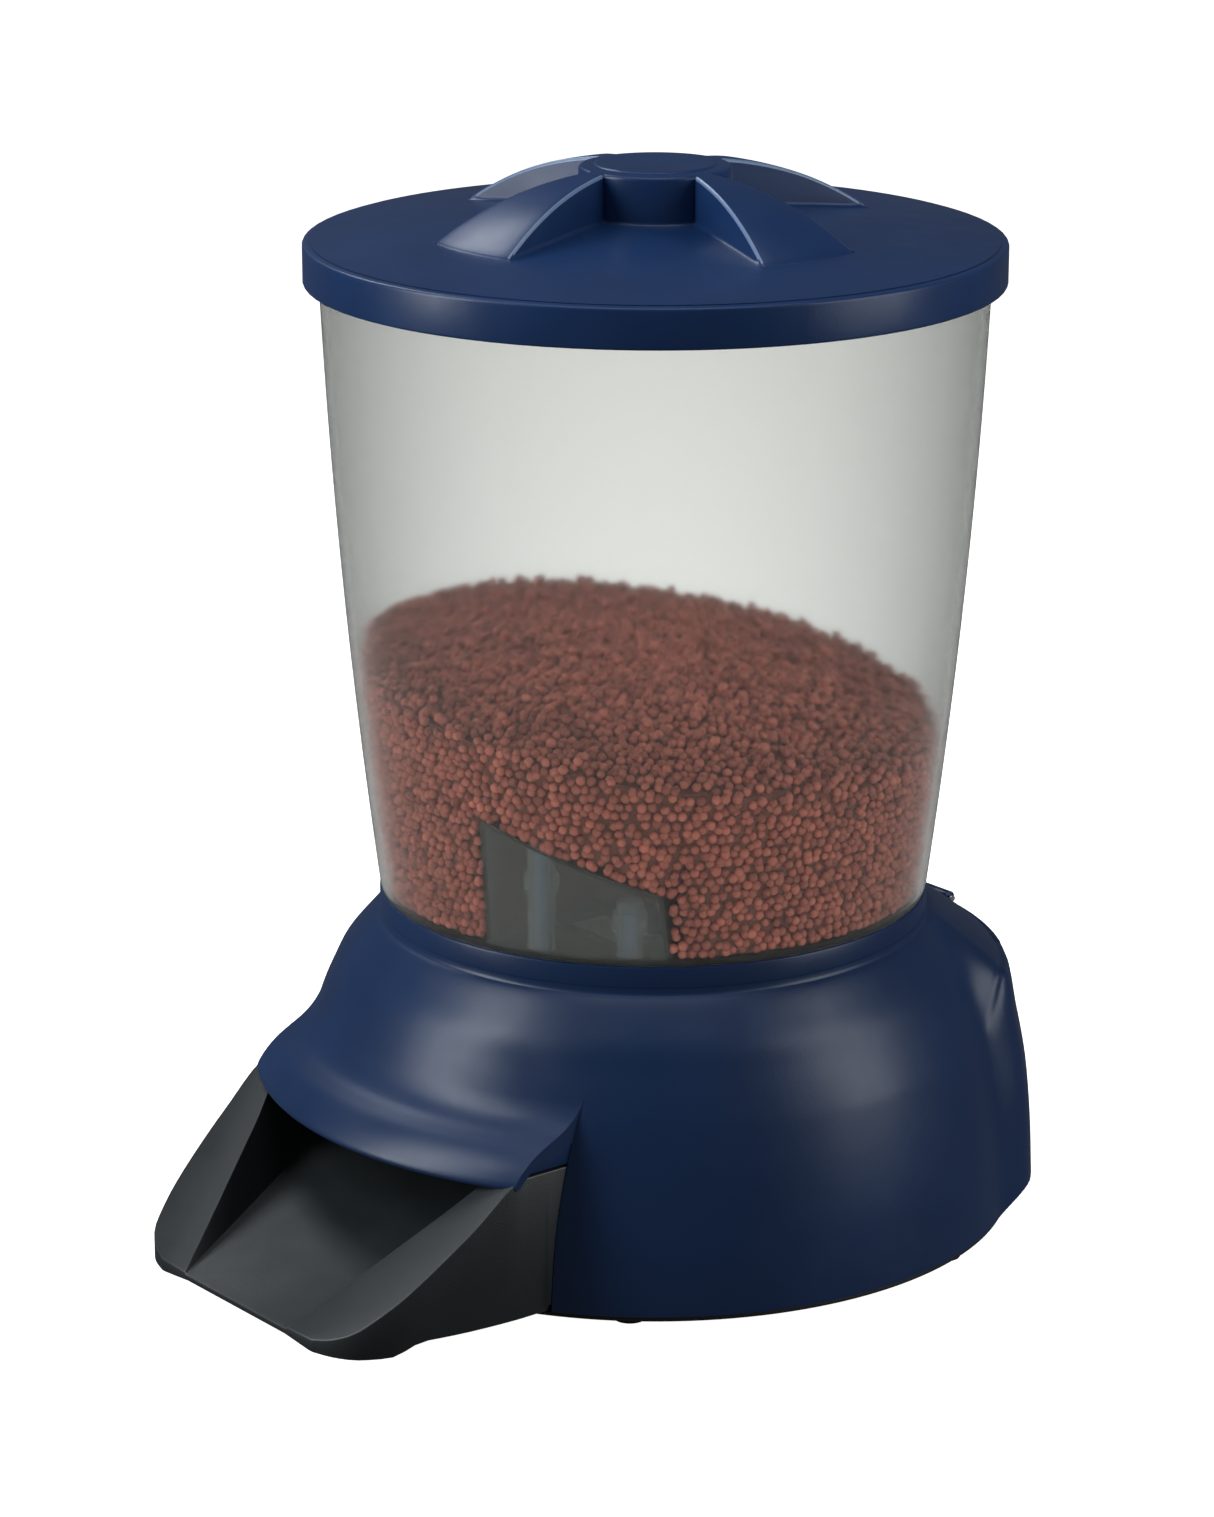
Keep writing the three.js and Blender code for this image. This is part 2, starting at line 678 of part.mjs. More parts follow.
function buildDrum() {
  const vanes = 6;
  const step = 2 * Math.PI / vanes;
  const tipHalf = 0.06;
  const rootHalf = 0.3;
  const star = [];
  for (let i = 0; i < vanes; i++) {
    star.push([drumRadius, i * step - tipHalf], [drumRadius, i * step + tipHalf]);
    star.push([6, i * step + rootHalf], [6, (i + 1) * step - rootHalf]);
  }
  const outline = star.map(([r, angle]) => [r * Math.cos(angle), r * Math.sin(angle)]);
  const wheel = prismX(outline, 18.6, 55.4).translate(0, drumAxis.y, drumAxis.z);
  part('dispenser_drum', carve(wheel, { cut: [bore(2.5, drumAxis)] }), look.white);
  part('drum_shaft', carve(rodX(2.2, -7, 60.5, drumAxis.y, drumAxis.z, 14)), look.steel);

  const toReduction = Math.atan2(reductionAxis.z - drumAxis.z, reductionAxis.y - drumAxis.y);
  const drumGear = gear(drumTeeth, toReduction, 6, 11, drumAxis);
  part('drum_gear', carve(drumGear, { cut: [bore(2.5, drumAxis)] }), look.gear);

  const smallPhase = toReduction + Math.PI + Math.PI / smallTeeth;
  const small = gear(smallTeeth, smallPhase, 3.5, 11, reductionAxis);
  const large = gear(largeTeeth, 0, -1, 4, reductionAxis);
  part('reduction_gear', carve(large, { add: [small], cut: [bore(1.6, reductionAxis)] }), look.gear);
  part('reduction_axle', carve(rodX(1.25, -6, 15.6, reductionAxis.y, reductionAxis.z, 12)), look.steel);

  const pinionPhase = Math.PI + Math.PI / motorTeeth;
  const pinion = gear(motorTeeth, pinionPhase, -1, 4, motorAxis);
  part('motor_pinion', carve(pinion, { cut: [bore(1.4, motorAxis)] }), look.brass);
  part('motor_shaft', carve(rodX(1, -9, 4.5, motorAxis.y, motorAxis.z, 12)), look.steel);
}

function buildMotor() {
  const can = [
    [0, -40], [5, -40], [5, -38], [12, -38], [12, -8], [11, -7],
    [3.5, -7], [3.5, -4.6], [1.3, -4.6], [1.3, -10], [0, -10],
  ];
  part('motor', carve(latheX(can, motorAxis.y, motorAxis.z, 24)), look.steel);

  const plateOutline = [[-74, 67], [12, 67], [15, 70], [15, 108], [12, 111.7], [-74, 111.7]];
  const pillars = [[9, 105], [9, 73], [-70, 71.5]];
  const pillarSeats = pillars.map(([y, z]) => rodX(1.6, -20, 30, y, z, 10));
  const shared = [bore(2.6, drumAxis), bore(1.45, reductionAxis), ...pillarSeats];
  const inner = prismX(plateOutline, -4.2, -2.4);
  const outer = prismX(plateOutline, 12.6, 14.4);
  part('gearbox_plate_inner', carve(inner, { cut: [...shared, bore(4, motorAxis)] }), look.steel);
  part('gearbox_plate_outer', carve(outer, { cut: shared }), look.steel);
  const pillarProfile = [
    [0, -5.4], [1.3, -5.4], [1.3, -2.1], [2.6, -2.1],
    [2.6, 12.3], [1.3, 12.3], [1.3, 15.6], [0, 15.6],
  ];
  pillars.forEach(([y, z], i) => {
    part(`gearbox_pillar_${i + 1}`, carve(latheX(pillarProfile, y, z, 10)), look.steel);
  });
}

function buildHousing() {
  const block = box(16, 55.7, -73, -29, 70, 111.7);
  const throat = box(17, 57, -62, -40, 111, 126.8);
  const cavity = rodX(housingBore, 18, 70, drumAxis.y, drumAxis.z, 36);
  const inlet = box(20, 54, -59, -43, 95, 130);
  const drop = box(20, 54, -60, -47, 60, 90);
  const housing = carve(block, { add: [throat], cut: [cavity, inlet, drop, bore(2.6, drumAxis)] });
  part('dispenser_housing', housing, look.white);

  const capPlate = box(56, 58.2, -73, -29, 70, 110.7);
  part('housing_end_cap', carve(capPlate, { cut: [bore(2.6, drumAxis)] }), look.white);

  const opening = box(16.4, 57.6, -62.6, -39.4, 100, 130);
  const screwHoles = deckScrewPlaces.map(([x, y]) => rodZ(1.8, 100, 130, x, y, 10));
  const wireHole = rodZ(6, 100, 130, -30, 40, 16);
  const deck = latheZ([[0, deckBottom], [101.5, deckBottom], [101.5, deckTop], [0, deckTop]], 40);
  part('mechanism_deck', carve(deck, { cut: [opening, wireHole, ...screwHoles] }), look.black);
  const screwProfile = [[0, 109.8], [3.2, 109.8], [3.2, 111.6], [1.5, 111.6], [1.5, 117.6], [0, 118.2]];
  deckScrewPlaces.forEach(([x, y], i) => {
    const screw = latheZ(screwProfile, 12);
    part(`deck_screw_${i + 1}`, carve(screw.translate(x, y, 0)), look.steel);
  });
}

// ------------------------------------------------------------------- assembly

buildLid();
buildHopper();
buildHood();
buildFeed();
buildBase();
buildNeck();
buildBasePlate();
buildChute();
buildTimerCover();
buildControls();
buildBattery();
buildDrum();
buildMotor();
buildHousing();

export default feeder;
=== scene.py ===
"""Looks of the automatic fish feeder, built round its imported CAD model.

Shapes are worked out in millimetres about the hopper's axis, with -Y towards the chute,
and are turned into metres in the CAD frame when a mesh is made. An azimuth is measured
from -Y towards +X.
"""
import math

import bmesh
import bpy
import numpy as np
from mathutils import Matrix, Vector


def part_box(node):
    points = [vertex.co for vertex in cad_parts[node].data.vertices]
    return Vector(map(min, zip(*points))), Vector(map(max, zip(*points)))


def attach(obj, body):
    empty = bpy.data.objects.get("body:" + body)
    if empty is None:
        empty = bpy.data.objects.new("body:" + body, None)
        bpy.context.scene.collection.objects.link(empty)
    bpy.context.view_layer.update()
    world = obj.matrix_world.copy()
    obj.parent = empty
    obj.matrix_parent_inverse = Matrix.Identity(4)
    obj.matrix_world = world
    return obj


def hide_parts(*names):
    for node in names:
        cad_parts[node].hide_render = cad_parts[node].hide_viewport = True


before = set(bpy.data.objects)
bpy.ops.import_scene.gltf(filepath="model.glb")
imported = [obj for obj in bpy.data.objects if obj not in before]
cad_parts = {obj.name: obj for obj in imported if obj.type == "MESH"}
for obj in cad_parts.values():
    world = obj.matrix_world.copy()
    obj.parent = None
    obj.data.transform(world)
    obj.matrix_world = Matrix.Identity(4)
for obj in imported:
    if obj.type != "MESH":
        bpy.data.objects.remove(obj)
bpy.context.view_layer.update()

MM = 0.001
LID_LOW, LID_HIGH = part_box("lid")
AXIS_Y = (LID_LOW[1] + LID_HIGH[1]) / 2
RANDOM = np.random.default_rng(7)

# Driving dimensions, as in the CAD part.
LID_R = 133.0
SKIRT_LOW, SKIRT_TOP = 367.3, 382.3
CROSS_R, HUB_R, CAP_R = 90.0, 29.0, 23.0
CROSS_TOP, CROSS_DROP = 411.5, 23.8         # height of the raised cross and its fall to the tips
CAP_TOP = 411.3
HOPPER_RIM, HOPPER_FOOT, HOPPER_FLOOR = 376.3, 129.3, 130.5
HOPPER_WALL = 2.2
HOPPER_UNDERSIDE = 127.3
SPIGOT_R = 103.2
MOUTH = 82.5                                # half width of the opening for the chute
CHUTE_HALF = 82.2
CHUTE_LIP = -202
RAMP_SLOPE = 0.3153                         # rise over run of the chute's floor
COVER_HALF = 75.0
HINGE_Y, HINGE_Z = 138.6, 97.4
PELLET = 3.9                                # diameter


# ---------------------------------------------------------------- mesh helpers

def to_metres(points):
    """Hopper-axis millimetres to metres in the CAD frame."""
    out = np.asarray(points, dtype=float) * MM
    out[:, 1] += AXIS_Y
    return out


def make(name, points, faces, material, sharp=35.0):
    """A mesh object from millimetre points, smooth except at edges sharper than `sharp`."""
    mesh = bpy.data.meshes.new(name)
    mesh.from_pydata(to_metres(points).tolist(), [], faces)
    mesh.validate()
    piece = bpy.data.objects.new(name, mesh)
    bpy.context.scene.collection.objects.link(piece)
    weld(piece)
    finish_mesh(piece, sharp)
    mesh.materials.append(material)
    return piece


def weld(piece, distance=2e-6):
    """Merges coincident vertices and turns every face outwards."""
    work = bmesh.new()
    work.from_mesh(piece.data)
    bmesh.ops.remove_doubles(work, verts=work.verts, dist=distance)
    bmesh.ops.dissolve_degenerate(work, edges=work.edges, dist=1e-7)
    bmesh.ops.recalc_face_normals(work, faces=work.faces)
    work.to_mesh(piece.data)
    work.free()


def finish_mesh(piece, sharp):
    piece.data.shade_smooth()
    piece.data.set_sharp_from_angle(angle=math.radians(sharp))


def bake(piece):
    """Replaces a piece's mesh by what its modifiers make of it."""
    graph = bpy.context.evaluated_depsgraph_get()
    mesh = bpy.data.meshes.new_from_object(piece.evaluated_get(graph), depsgraph=graph)
    piece.modifiers.clear()
    piece.data = mesh


def boolean(piece, tool, operation="DIFFERENCE"):
    step = piece.modifiers.new(operation.lower(), "BOOLEAN")
    step.operation = operation
    step.solver = "EXACT"
    step.object = tool
    bake(piece)
    bpy.data.objects.remove(tool)


def bevel(piece, width, segments=3, angle=30.0, edge_material=None):
    """Rounds the piece's sharp edges, width in millimetres, in a finish of their own if given."""
    step = piece.modifiers.new("bevel", "BEVEL")
    if edge_material:
        piece.data.materials.append(edge_material)
        step.material = 1
    step.width = width * MM
    step.segments = segments
    step.limit_method = "ANGLE"
    step.angle_limit = math.radians(angle)
    step.use_clamp_overlap = True
    bake(piece)
    finish_mesh(piece, 50)


def ring_faces(rings, count, closed):
    """Quads between rings of `count` points each, and from the last ring to the first if closed."""
    faces = []
    for ring in range(rings if closed else rings - 1):
        after = (ring + 1) % rings
        for k in range(count):
            step = (k + 1) % count
            faces.append((ring * count + k, after * count + k, after * count + step, ring * count + step))
    return faces


def sweep(name, profile_at, steps, material, sharp=35.0):
    """Turns a closed profile of (radius, height) round the hopper's axis."""
    points = []
    for step in range(steps):
        azimuth = 2 * math.pi * step / steps
        for r, z in profile_at(azimuth):
            points.append((r * math.sin(azimuth), -r * math.cos(azimuth), z))
    count = len(points) // steps
    return make(name, points, ring_faces(steps, count, True), material, sharp)


def lathe(name, profile, steps, material):
    return sweep(name, lambda azimuth: profile, steps, material)


def block(name, x0, x1, y0, y1, z0, z1, material):
    """A plain box, used as a boolean tool."""
    corners = [(x, y, z) for x in (x0, x1) for y in (y0, y1) for z in (z0, z1)]
    faces = [(0, 1, 3, 2), (4, 6, 7, 5), (0, 4, 5, 1), (2, 3, 7, 6), (0, 2, 6, 4), (1, 5, 7, 3)]
    return make(name, corners, faces, material)


def rod(name, radius, start, end, material, steps=48):
    """A plain round bar between two points, used as a boolean tool."""
    start, end = np.array(start, float), np.array(end, float)
    along = (end - start) / np.linalg.norm(end - start)
    side = np.cross(along, (0, 0, 1) if abs(along[2]) < 0.9 else (1, 0, 0))
    side /= np.linalg.norm(side)
    other = np.cross(along, side)
    points = []
    for centre in (start, end):
        for k in range(steps):
            angle = 2 * math.pi * k / steps
            points.append(centre + radius * (math.cos(angle) * side + math.sin(angle) * other))
    faces = ring_faces(2, steps, False)
    faces.append(tuple(range(steps)))
    faces.append(tuple(range(2 * steps - 1, steps - 1, -1)))
    return make(name, points, faces, material)


def turned(name, profile, at, material):
    """A small turned piece, profile (radius, height), standing at `at`."""
    steps = 48
    points = []
    for step in range(steps):
        angle = 2 * math.pi * step / steps
        for r, z in profile:
            points.append((at[0] + r * math.cos(angle), at[1] + r * math.sin(angle), z))
    return make(name, points, ring_faces(steps, len(profile), True), material)


def centre_of(node):
    """Middle of a CAD node seen from above, in millimetres from the hopper's axis."""
    low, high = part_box(node)
    return (low[0] + high[0]) / 2 / MM, ((low[1] + high[1]) / 2 - AXIS_Y) / MM


# --------------------------------------------------------------- curve helpers

def smooth(points, per_span):
    """A centripetal Catmull-Rom curve through the points."""
    knots = [np.array(p, float) for p in points]
    ends = [2 * knots[0] - knots[1], *knots, 2 * knots[-1] - knots[-2]]
    curve = []
    for i in range(1, len(ends) - 2):
        p0, p1, p2, p3 = ends[i - 1:i + 3]
        t0 = 0.0
        t1 = t0 + np.linalg.norm(p1 - p0) ** 0.5
        t2 = t1 + np.linalg.norm(p2 - p1) ** 0.5
        t3 = t2 + np.linalg.norm(p3 - p2) ** 0.5
        for k in range(per_span):
            t = t1 + (t2 - t1) * k / per_span
            a1 = (t1 - t) / (t1 - t0) * p0 + (t - t0) / (t1 - t0) * p1
            a2 = (t2 - t) / (t2 - t1) * p1 + (t - t1) / (t2 - t1) * p2
            a3 = (t3 - t) / (t3 - t2) * p2 + (t - t2) / (t3 - t2) * p3
            b1 = (t2 - t) / (t2 - t0) * a1 + (t - t0) / (t2 - t0) * a2
            b2 = (t3 - t) / (t3 - t1) * a2 + (t - t1) / (t3 - t1) * a3
            curve.append(tuple((t2 - t) / (t2 - t1) * b1 + (t - t1) / (t2 - t1) * b2))
    curve.append(tuple(knots[-1]))
    return curve


def rounded(points, radius, steps=4):
    """Replaces every corner of a closed outline by an arc-like curve of about `radius`."""
    out = []
    count = len(points)
    for i in range(count):
        before, corner, after = (np.array(points[(i + k) % count], float) for k in (-1, 0, 1))
        back, ahead = before - corner, after - corner
        reach = min(radius, np.linalg.norm(back) * 0.45, np.linalg.norm(ahead) * 0.45)
        start = corner + back / np.linalg.norm(back) * reach
        end = corner + ahead / np.linalg.norm(ahead) * reach
        for k in range(steps + 1):
            t = k / steps
            out.append(tuple((1 - t) ** 2 * start + 2 * t * (1 - t) * corner + t * t * end))
    return out


def ease(t):
    t = min(max(t, 0.0), 1.0)
    return t * t * (3 - 2 * t)


# ------------------------------------------------------------------- materials

def new_material(name):
    material = bpy.data.materials.new(name)
    material.use_nodes = True
    nodes = material.node_tree.nodes
    return material, nodes, material.node_tree.links, nodes["Principled BSDF"]


def noise(nodes, links, scale, detail):
    place = nodes.new("ShaderNodeTexCoord")
    pattern = nodes.new("ShaderNodeTexNoise")
    pattern.inputs["Scale"].default_value = scale
    pattern.inputs["Detail"].default_value = detail
    pattern.inputs["Roughness"].default_value = 0.55
    links.new(place.outputs["Object"], pattern.inputs["Vector"])
    return pattern.outputs["Fac"]


def remap(nodes, links, value, low, high):
    """Spreads a noise value, which is mostly between 0.3 and 0.7, from `low` to `high`."""
    span = nodes.new("ShaderNodeMapRange")
    span.inputs["From Min"].default_value = 0.3
    span.inputs["From Max"].default_value = 0.7
    span.inputs["To Min"].default_value = low
    span.inputs["To Max"].default_value = high
    links.new(value, span.inputs["Value"])
    return span.outputs["Result"]


def blend_colours(nodes, links, value, first, second):
    ramp = nodes.new("ShaderNodeValToRGB")
    ramp.color_ramp.elements[0].position = 0.3
    ramp.color_ramp.elements[1].position = 0.7
    ramp.color_ramp.elements[0].color = (*first, 1)
    ramp.color_ramp.elements[1].color = (*second, 1)
    links.new(value, ramp.inputs["Fac"])
    return ramp.outputs["Color"]


def add_bump(nodes, links, shader, value, strength, distance):
    bump = nodes.new("ShaderNodeBump")
    bump.inputs["Strength"].default_value = strength
    bump.inputs["Distance"].default_value = distance
    links.new(value, bump.inputs["Height"])
    links.new(bump.outputs["Normal"], shader.inputs["Normal"])


def moulded(name, colour, roughness, grain=900.0, relief=0.15, tint=0.12, metallic=0.0, coat=0.0,
            gloss_level=0.5):
    """Moulded plastic or plain metal: uneven tone, uneven gloss and a fine surface grain."""
    material, nodes, links, shader = new_material(name)
    darker = tuple(c * (1 - tint) for c in colour)
    lighter = tuple(c * (1 + tint) for c in colour)
    cloud = noise(nodes, links, 14.0, 2.0)
    links.new(blend_colours(nodes, links, cloud, darker, lighter), shader.inputs["Base Color"])
    patchy = noise(nodes, links, 45.0, 4.0)
    gloss = remap(nodes, links, patchy, roughness * 0.9, roughness * 1.12)
    links.new(gloss, shader.inputs["Roughness"])
    fine = noise(nodes, links, grain, 2.0)
    add_bump(nodes, links, shader, fine, relief, 0.0002)
    shader.inputs["Metallic"].default_value = metallic
    shader.inputs["Specular IOR Level"].default_value = gloss_level
    shader.inputs["Coat Weight"].default_value = coat
    shader.inputs["Coat Roughness"].default_value = roughness * 0.8
    return material


MIX_FIRST, MIX_SECOND, MIX_RESULT = 6, 7, 2     # the Mix node's colour sockets


def frosted(name, face_colour, edge_colour, haze, roughness, ior, haze_colour):
    """Translucent moulded wall: rough clear plastic, darker edge on, with a thin milky scatter."""
    material, nodes, links, shader = new_material(name)
    weight = nodes.new("ShaderNodeLayerWeight")
    weight.inputs["Blend"].default_value = 0.4
    tint = nodes.new("ShaderNodeMix")
    tint.data_type = "RGBA"
    links.new(weight.outputs["Facing"], tint.inputs["Factor"])
    tint.inputs[MIX_FIRST].default_value = (*face_colour, 1)
    tint.inputs[MIX_SECOND].default_value = (*edge_colour, 1)
    links.new(tint.outputs[MIX_RESULT], shader.inputs["Base Color"])
    shader.inputs["Transmission Weight"].default_value = 1.0
    shader.inputs["IOR"].default_value = ior
    cloud = noise(nodes, links, 260.0, 4.0)
    links.new(remap(nodes, links, cloud, roughness * 0.96, roughness * 1.04), shader.inputs["Roughness"])
    milk = nodes.new("ShaderNodeBsdfTranslucent")
    milk.inputs["Color"].default_value = (*haze_colour, 1)
    skin = nodes.new("ShaderNodeBsdfDiffuse")
    skin.inputs["Color"].default_value = (*haze_colour, 1)
    scatter = nodes.new("ShaderNodeMixShader")
    scatter.inputs[0].default_value = 0.5
    links.new(milk.outputs[0], scatter.inputs[1])
    links.new(skin.outputs[0], scatter.inputs[2])
    mix = nodes.new("ShaderNodeMixShader")
    links.new(remap(nodes, links, cloud, haze * 0.97, haze * 1.03), mix.inputs[0])
    links.new(shader.outputs[0], mix.inputs[1])
    links.new(scatter.outputs[0], mix.inputs[2])
    links.new(mix.outputs[0], nodes["Material Output"].inputs["Surface"])
    return material


def pellet_material():
    """Pressed feed: brown red, each pellet its own tone, with a chalky surface."""
    material, nodes, links, shader = new_material("feed_pellet")
    tone = nodes.new("ShaderNodeAttribute")
    tone.attribute_name = "tone"
    ramp = nodes.new("ShaderNodeValToRGB")
    ramp.color_ramp.elements[0].color = (0.25, 0.062, 0.043, 1)
    ramp.color_ramp.elements[1].color = (0.62, 0.185, 0.127, 1)
    links.new(tone.outputs["Fac"], ramp.inputs["Fac"])
    links.new(ramp.outputs["Color"], shader.inputs["Base Color"])
    grit = noise(nodes, links, 1500.0, 2.0)
    add_bump(nodes, links, shader, grit, 0.4, 0.0003)
    shader.inputs["Roughness"].default_value = 0.7
    return material


M = {
    "lid": moulded("navy_lid", (0.0085, 0.032, 0.108), 0.32, gloss_level=0.35),
    "base": moulded("navy_base", (0.008, 0.027, 0.086), 0.35, gloss_level=0.4),
    "chute": moulded("black_chute", (0.0145, 0.0182, 0.0198), 0.5, grain=1400.0, relief=0.35),
    # Painted highlight: a lighter grey for the chute's rounded edges, standing in for the light caught along
    # them.
    "chute_edge": moulded("chute_edge_highlight", (0.045, 0.05, 0.052), 0.4, grain=1400.0, relief=0.2),
    # Painted highlight: a lighter, glossier blue for the lid arms' upper edges, standing in for the gloss
    # caught on their fillets.
    "lid_edge_highlight": moulded("lid_edge_highlight", (0.14, 0.21, 0.36), 0.3),
    "plate": moulded("black_plate", (0.010, 0.011, 0.012), 0.6, grain=1200.0, relief=0.3),
    "panel": moulded("grey_panel", (0.030, 0.033, 0.036), 0.55, grain=1200.0, relief=0.3),
    "rubber": moulded("black_rubber", (0.007, 0.007, 0.008), 0.75, grain=1600.0, relief=0.3),
    "key": moulded("grey_key", (0.16, 0.17, 0.18), 0.6, grain=1600.0, relief=0.2),
    "white": moulded("natural_white", (0.62, 0.61, 0.56), 0.45),
    "gear": moulded("cream_gear", (0.56, 0.53, 0.43), 0.42),
    "rod": moulded("blue_rod", (0.06, 0.17, 0.5), 0.4),
    "steel": moulded("plated_steel", (0.55, 0.56, 0.58), 0.32, 2500.0, 0.1, tint=0.06, metallic=1.0),
    "brass": moulded("turned_brass", (0.62, 0.45, 0.18), 0.3, 2500.0, 0.1, tint=0.06, metallic=1.0),
    "board": moulded("solder_mask", (0.014, 0.10, 0.045), 0.4, grain=500.0, relief=0.2),
    "jacket": moulded("cell_jacket", (0.018, 0.02, 0.024), 0.28, coat=0.3),
    "display": moulded("display_film", (0.30, 0.34, 0.25), 0.3),
    "frost": frosted("frosted_hopper", (0.77, 0.775, 0.755), (0.22, 0.23, 0.22), haze=0.05,
                     roughness=0.15, ior=1.12, haze_colour=(0.6, 0.61, 0.59)),
    "clear": frosted("clear_hood", (0.86, 0.89, 0.88), (0.5, 0.55, 0.55), haze=0.06,
                     roughness=0.05, ior=1.3, haze_colour=(0.6, 0.65, 0.64)),
    "boss": frosted("hood_boss", (0.9, 0.93, 0.93), (0.7, 0.76, 0.76), haze=0.24,
                    roughness=0.05, ior=1.3, haze_colour=(0.8, 0.86, 0.88)),
    "hood_edge": frosted("hood_edge", (0.86, 0.89, 0.88), (0.7, 0.75, 0.75), haze=0.6,
                         roughness=0.1, ior=1.3, haze_colour=(0.8, 0.85, 0.84)),
    "pellet": pellet_material(),
    # Painted shade: the solid heap behind the pellets is darker than the pellets themselves, standing in for
    # the shade among them.
    "core": moulded("feed_core", (0.15, 0.046, 0.03), 0.8, grain=300.0, relief=0.6, tint=0.3),
}


# ------------------------------------------------------------------------- lid

LID_EDGE, LID_FOOT = 1.3, 1.6       # radii along the top of the cross and at its foot


def dome_height(r):
    """Top of the hub and the four arms."""
    return CROSS_TOP - CROSS_DROP * (r / CROSS_R) ** 2.6


def cone_height(r):
    """Top of the lid itself, which shows between the arms."""
    return 393.5 - (r / 131) ** 1.4 * 10.5


def lid_rows():
    """(radius, drop below the dome or None, rise above the cone) from the hub outwards.

    A rise of -1 marks the row at the arms' tips, where no fillet lifts the cone.
    """
    edge, foot = LID_EDGE, LID_FOOT
    arc = [k / 5 * math.pi / 2 for k in range(6)]
    rows = [(r, 0.0, 0.0) for r in (0.05, 6, 12, 17)]
    rows += [(r, 0.0, 0.0) for r in (CAP_R - 1.2, CAP_R - 0.6, CAP_R - 0.2, CAP_R, CAP_R + 0.3, CAP_R + 1)]
    rows += [(HUB_R - edge + edge * math.sin(a), edge * (1 - math.cos(a)), 0.0) for a in arc]
    rows += [(HUB_R + foot * (1 - math.cos(a)), None, foot * (1 - math.sin(a))) for a in arc]
    rows += [(r, None, 0.0) for r in np.linspace(HUB_R + 3, CROSS_R - 1.2, 24)]
    rows += [(CROSS_R - 0.8, None, 0.0), (CROSS_R - 0.4, None, 0.0), (CROSS_R - 0.1, None, 0.0)]
    rows += [(CROSS_R + 0.05, None, -1.0), (CROSS_R + 0.8, None, 0.0), (CROSS_R + 3, None, 0.0)]
    rows += [(r, None, 0.0) for r in (98, 104, 110, 116, 121, 125, 128, 130)]
    return rows


def arm_half_width(r):
    return 4.6 + (r - HUB_R) * 0.285 if r > HUB_R else 4.6 * r / HUB_R


def lid_columns():
    """(kind, offset, drop or None, rise) over one eighth turn, from an arm's middle."""
    edge, foot = LID_EDGE, LID_FOOT
    arc = [k / 5 * math.pi / 2 for k in range(6)]
    columns = [("arm", f, 0.0, 0.0) for f in (0.0, 0.2, 0.4, 0.6, 0.8)]
    columns += [("edge", -edge * (1 - math.sin(a)), edge * (1 - math.cos(a)), 0.0) for a in arc]
    columns += [("edge", foot * (1 - math.cos(a)), None, foot * (1 - math.sin(a))) for a in arc]
    columns += [("pocket", f, None, 0.0) for f in (0.15, 0.3, 0.45, 0.6, 0.75, 0.9, 1.0)]
    return columns


def lid_angle(column, r):
    """Angle from the arm's middle for a column at this radius."""
    kind, offset = column[0], column[1]
    half = arm_half_width(r)
    scale = min(r / HUB_R, 1.0)
    if kind == "arm":
        return math.asin(min(max(half - LID_EDGE * scale, 0.0) * offset / r, 1.0))
    if kind == "edge":
        return math.asin(min(max(half + offset * scale, 0.0) / r, 1.0))
    start = math.asin(min((half + LID_FOOT * scale) / r, 1.0))
    return start + (math.pi / 4 - start) * offset


def lid_height(row, column, r):
    """The hub, the arms and the cone beneath them, whichever is highest."""
    floor = cone_height(r)
    dome = dome_height(r)
    depth = max(dome - floor, 0.0)
    lift = max(row[2], column[3]) if row[2] >= 0 else 0.0
    height = floor + min(lift, depth * 0.4)
    if row[1] is not None:
        height = dome - min(row[1], depth)
    if column[2] is not None and r < CROSS_R:
        toe = max(r - (CROSS_R - 1.0), 0.0) * 0.5
        height = max(height, dome - min(column[2], depth * 0.5) - min(toe, depth * 0.5))
    if r < CAP_R + 0.1:
        height += (CAP_TOP - height) * ease((CAP_R - r) / 0.7)
    elif r < CAP_R + 0.5:
        height -= 0.15
    return height


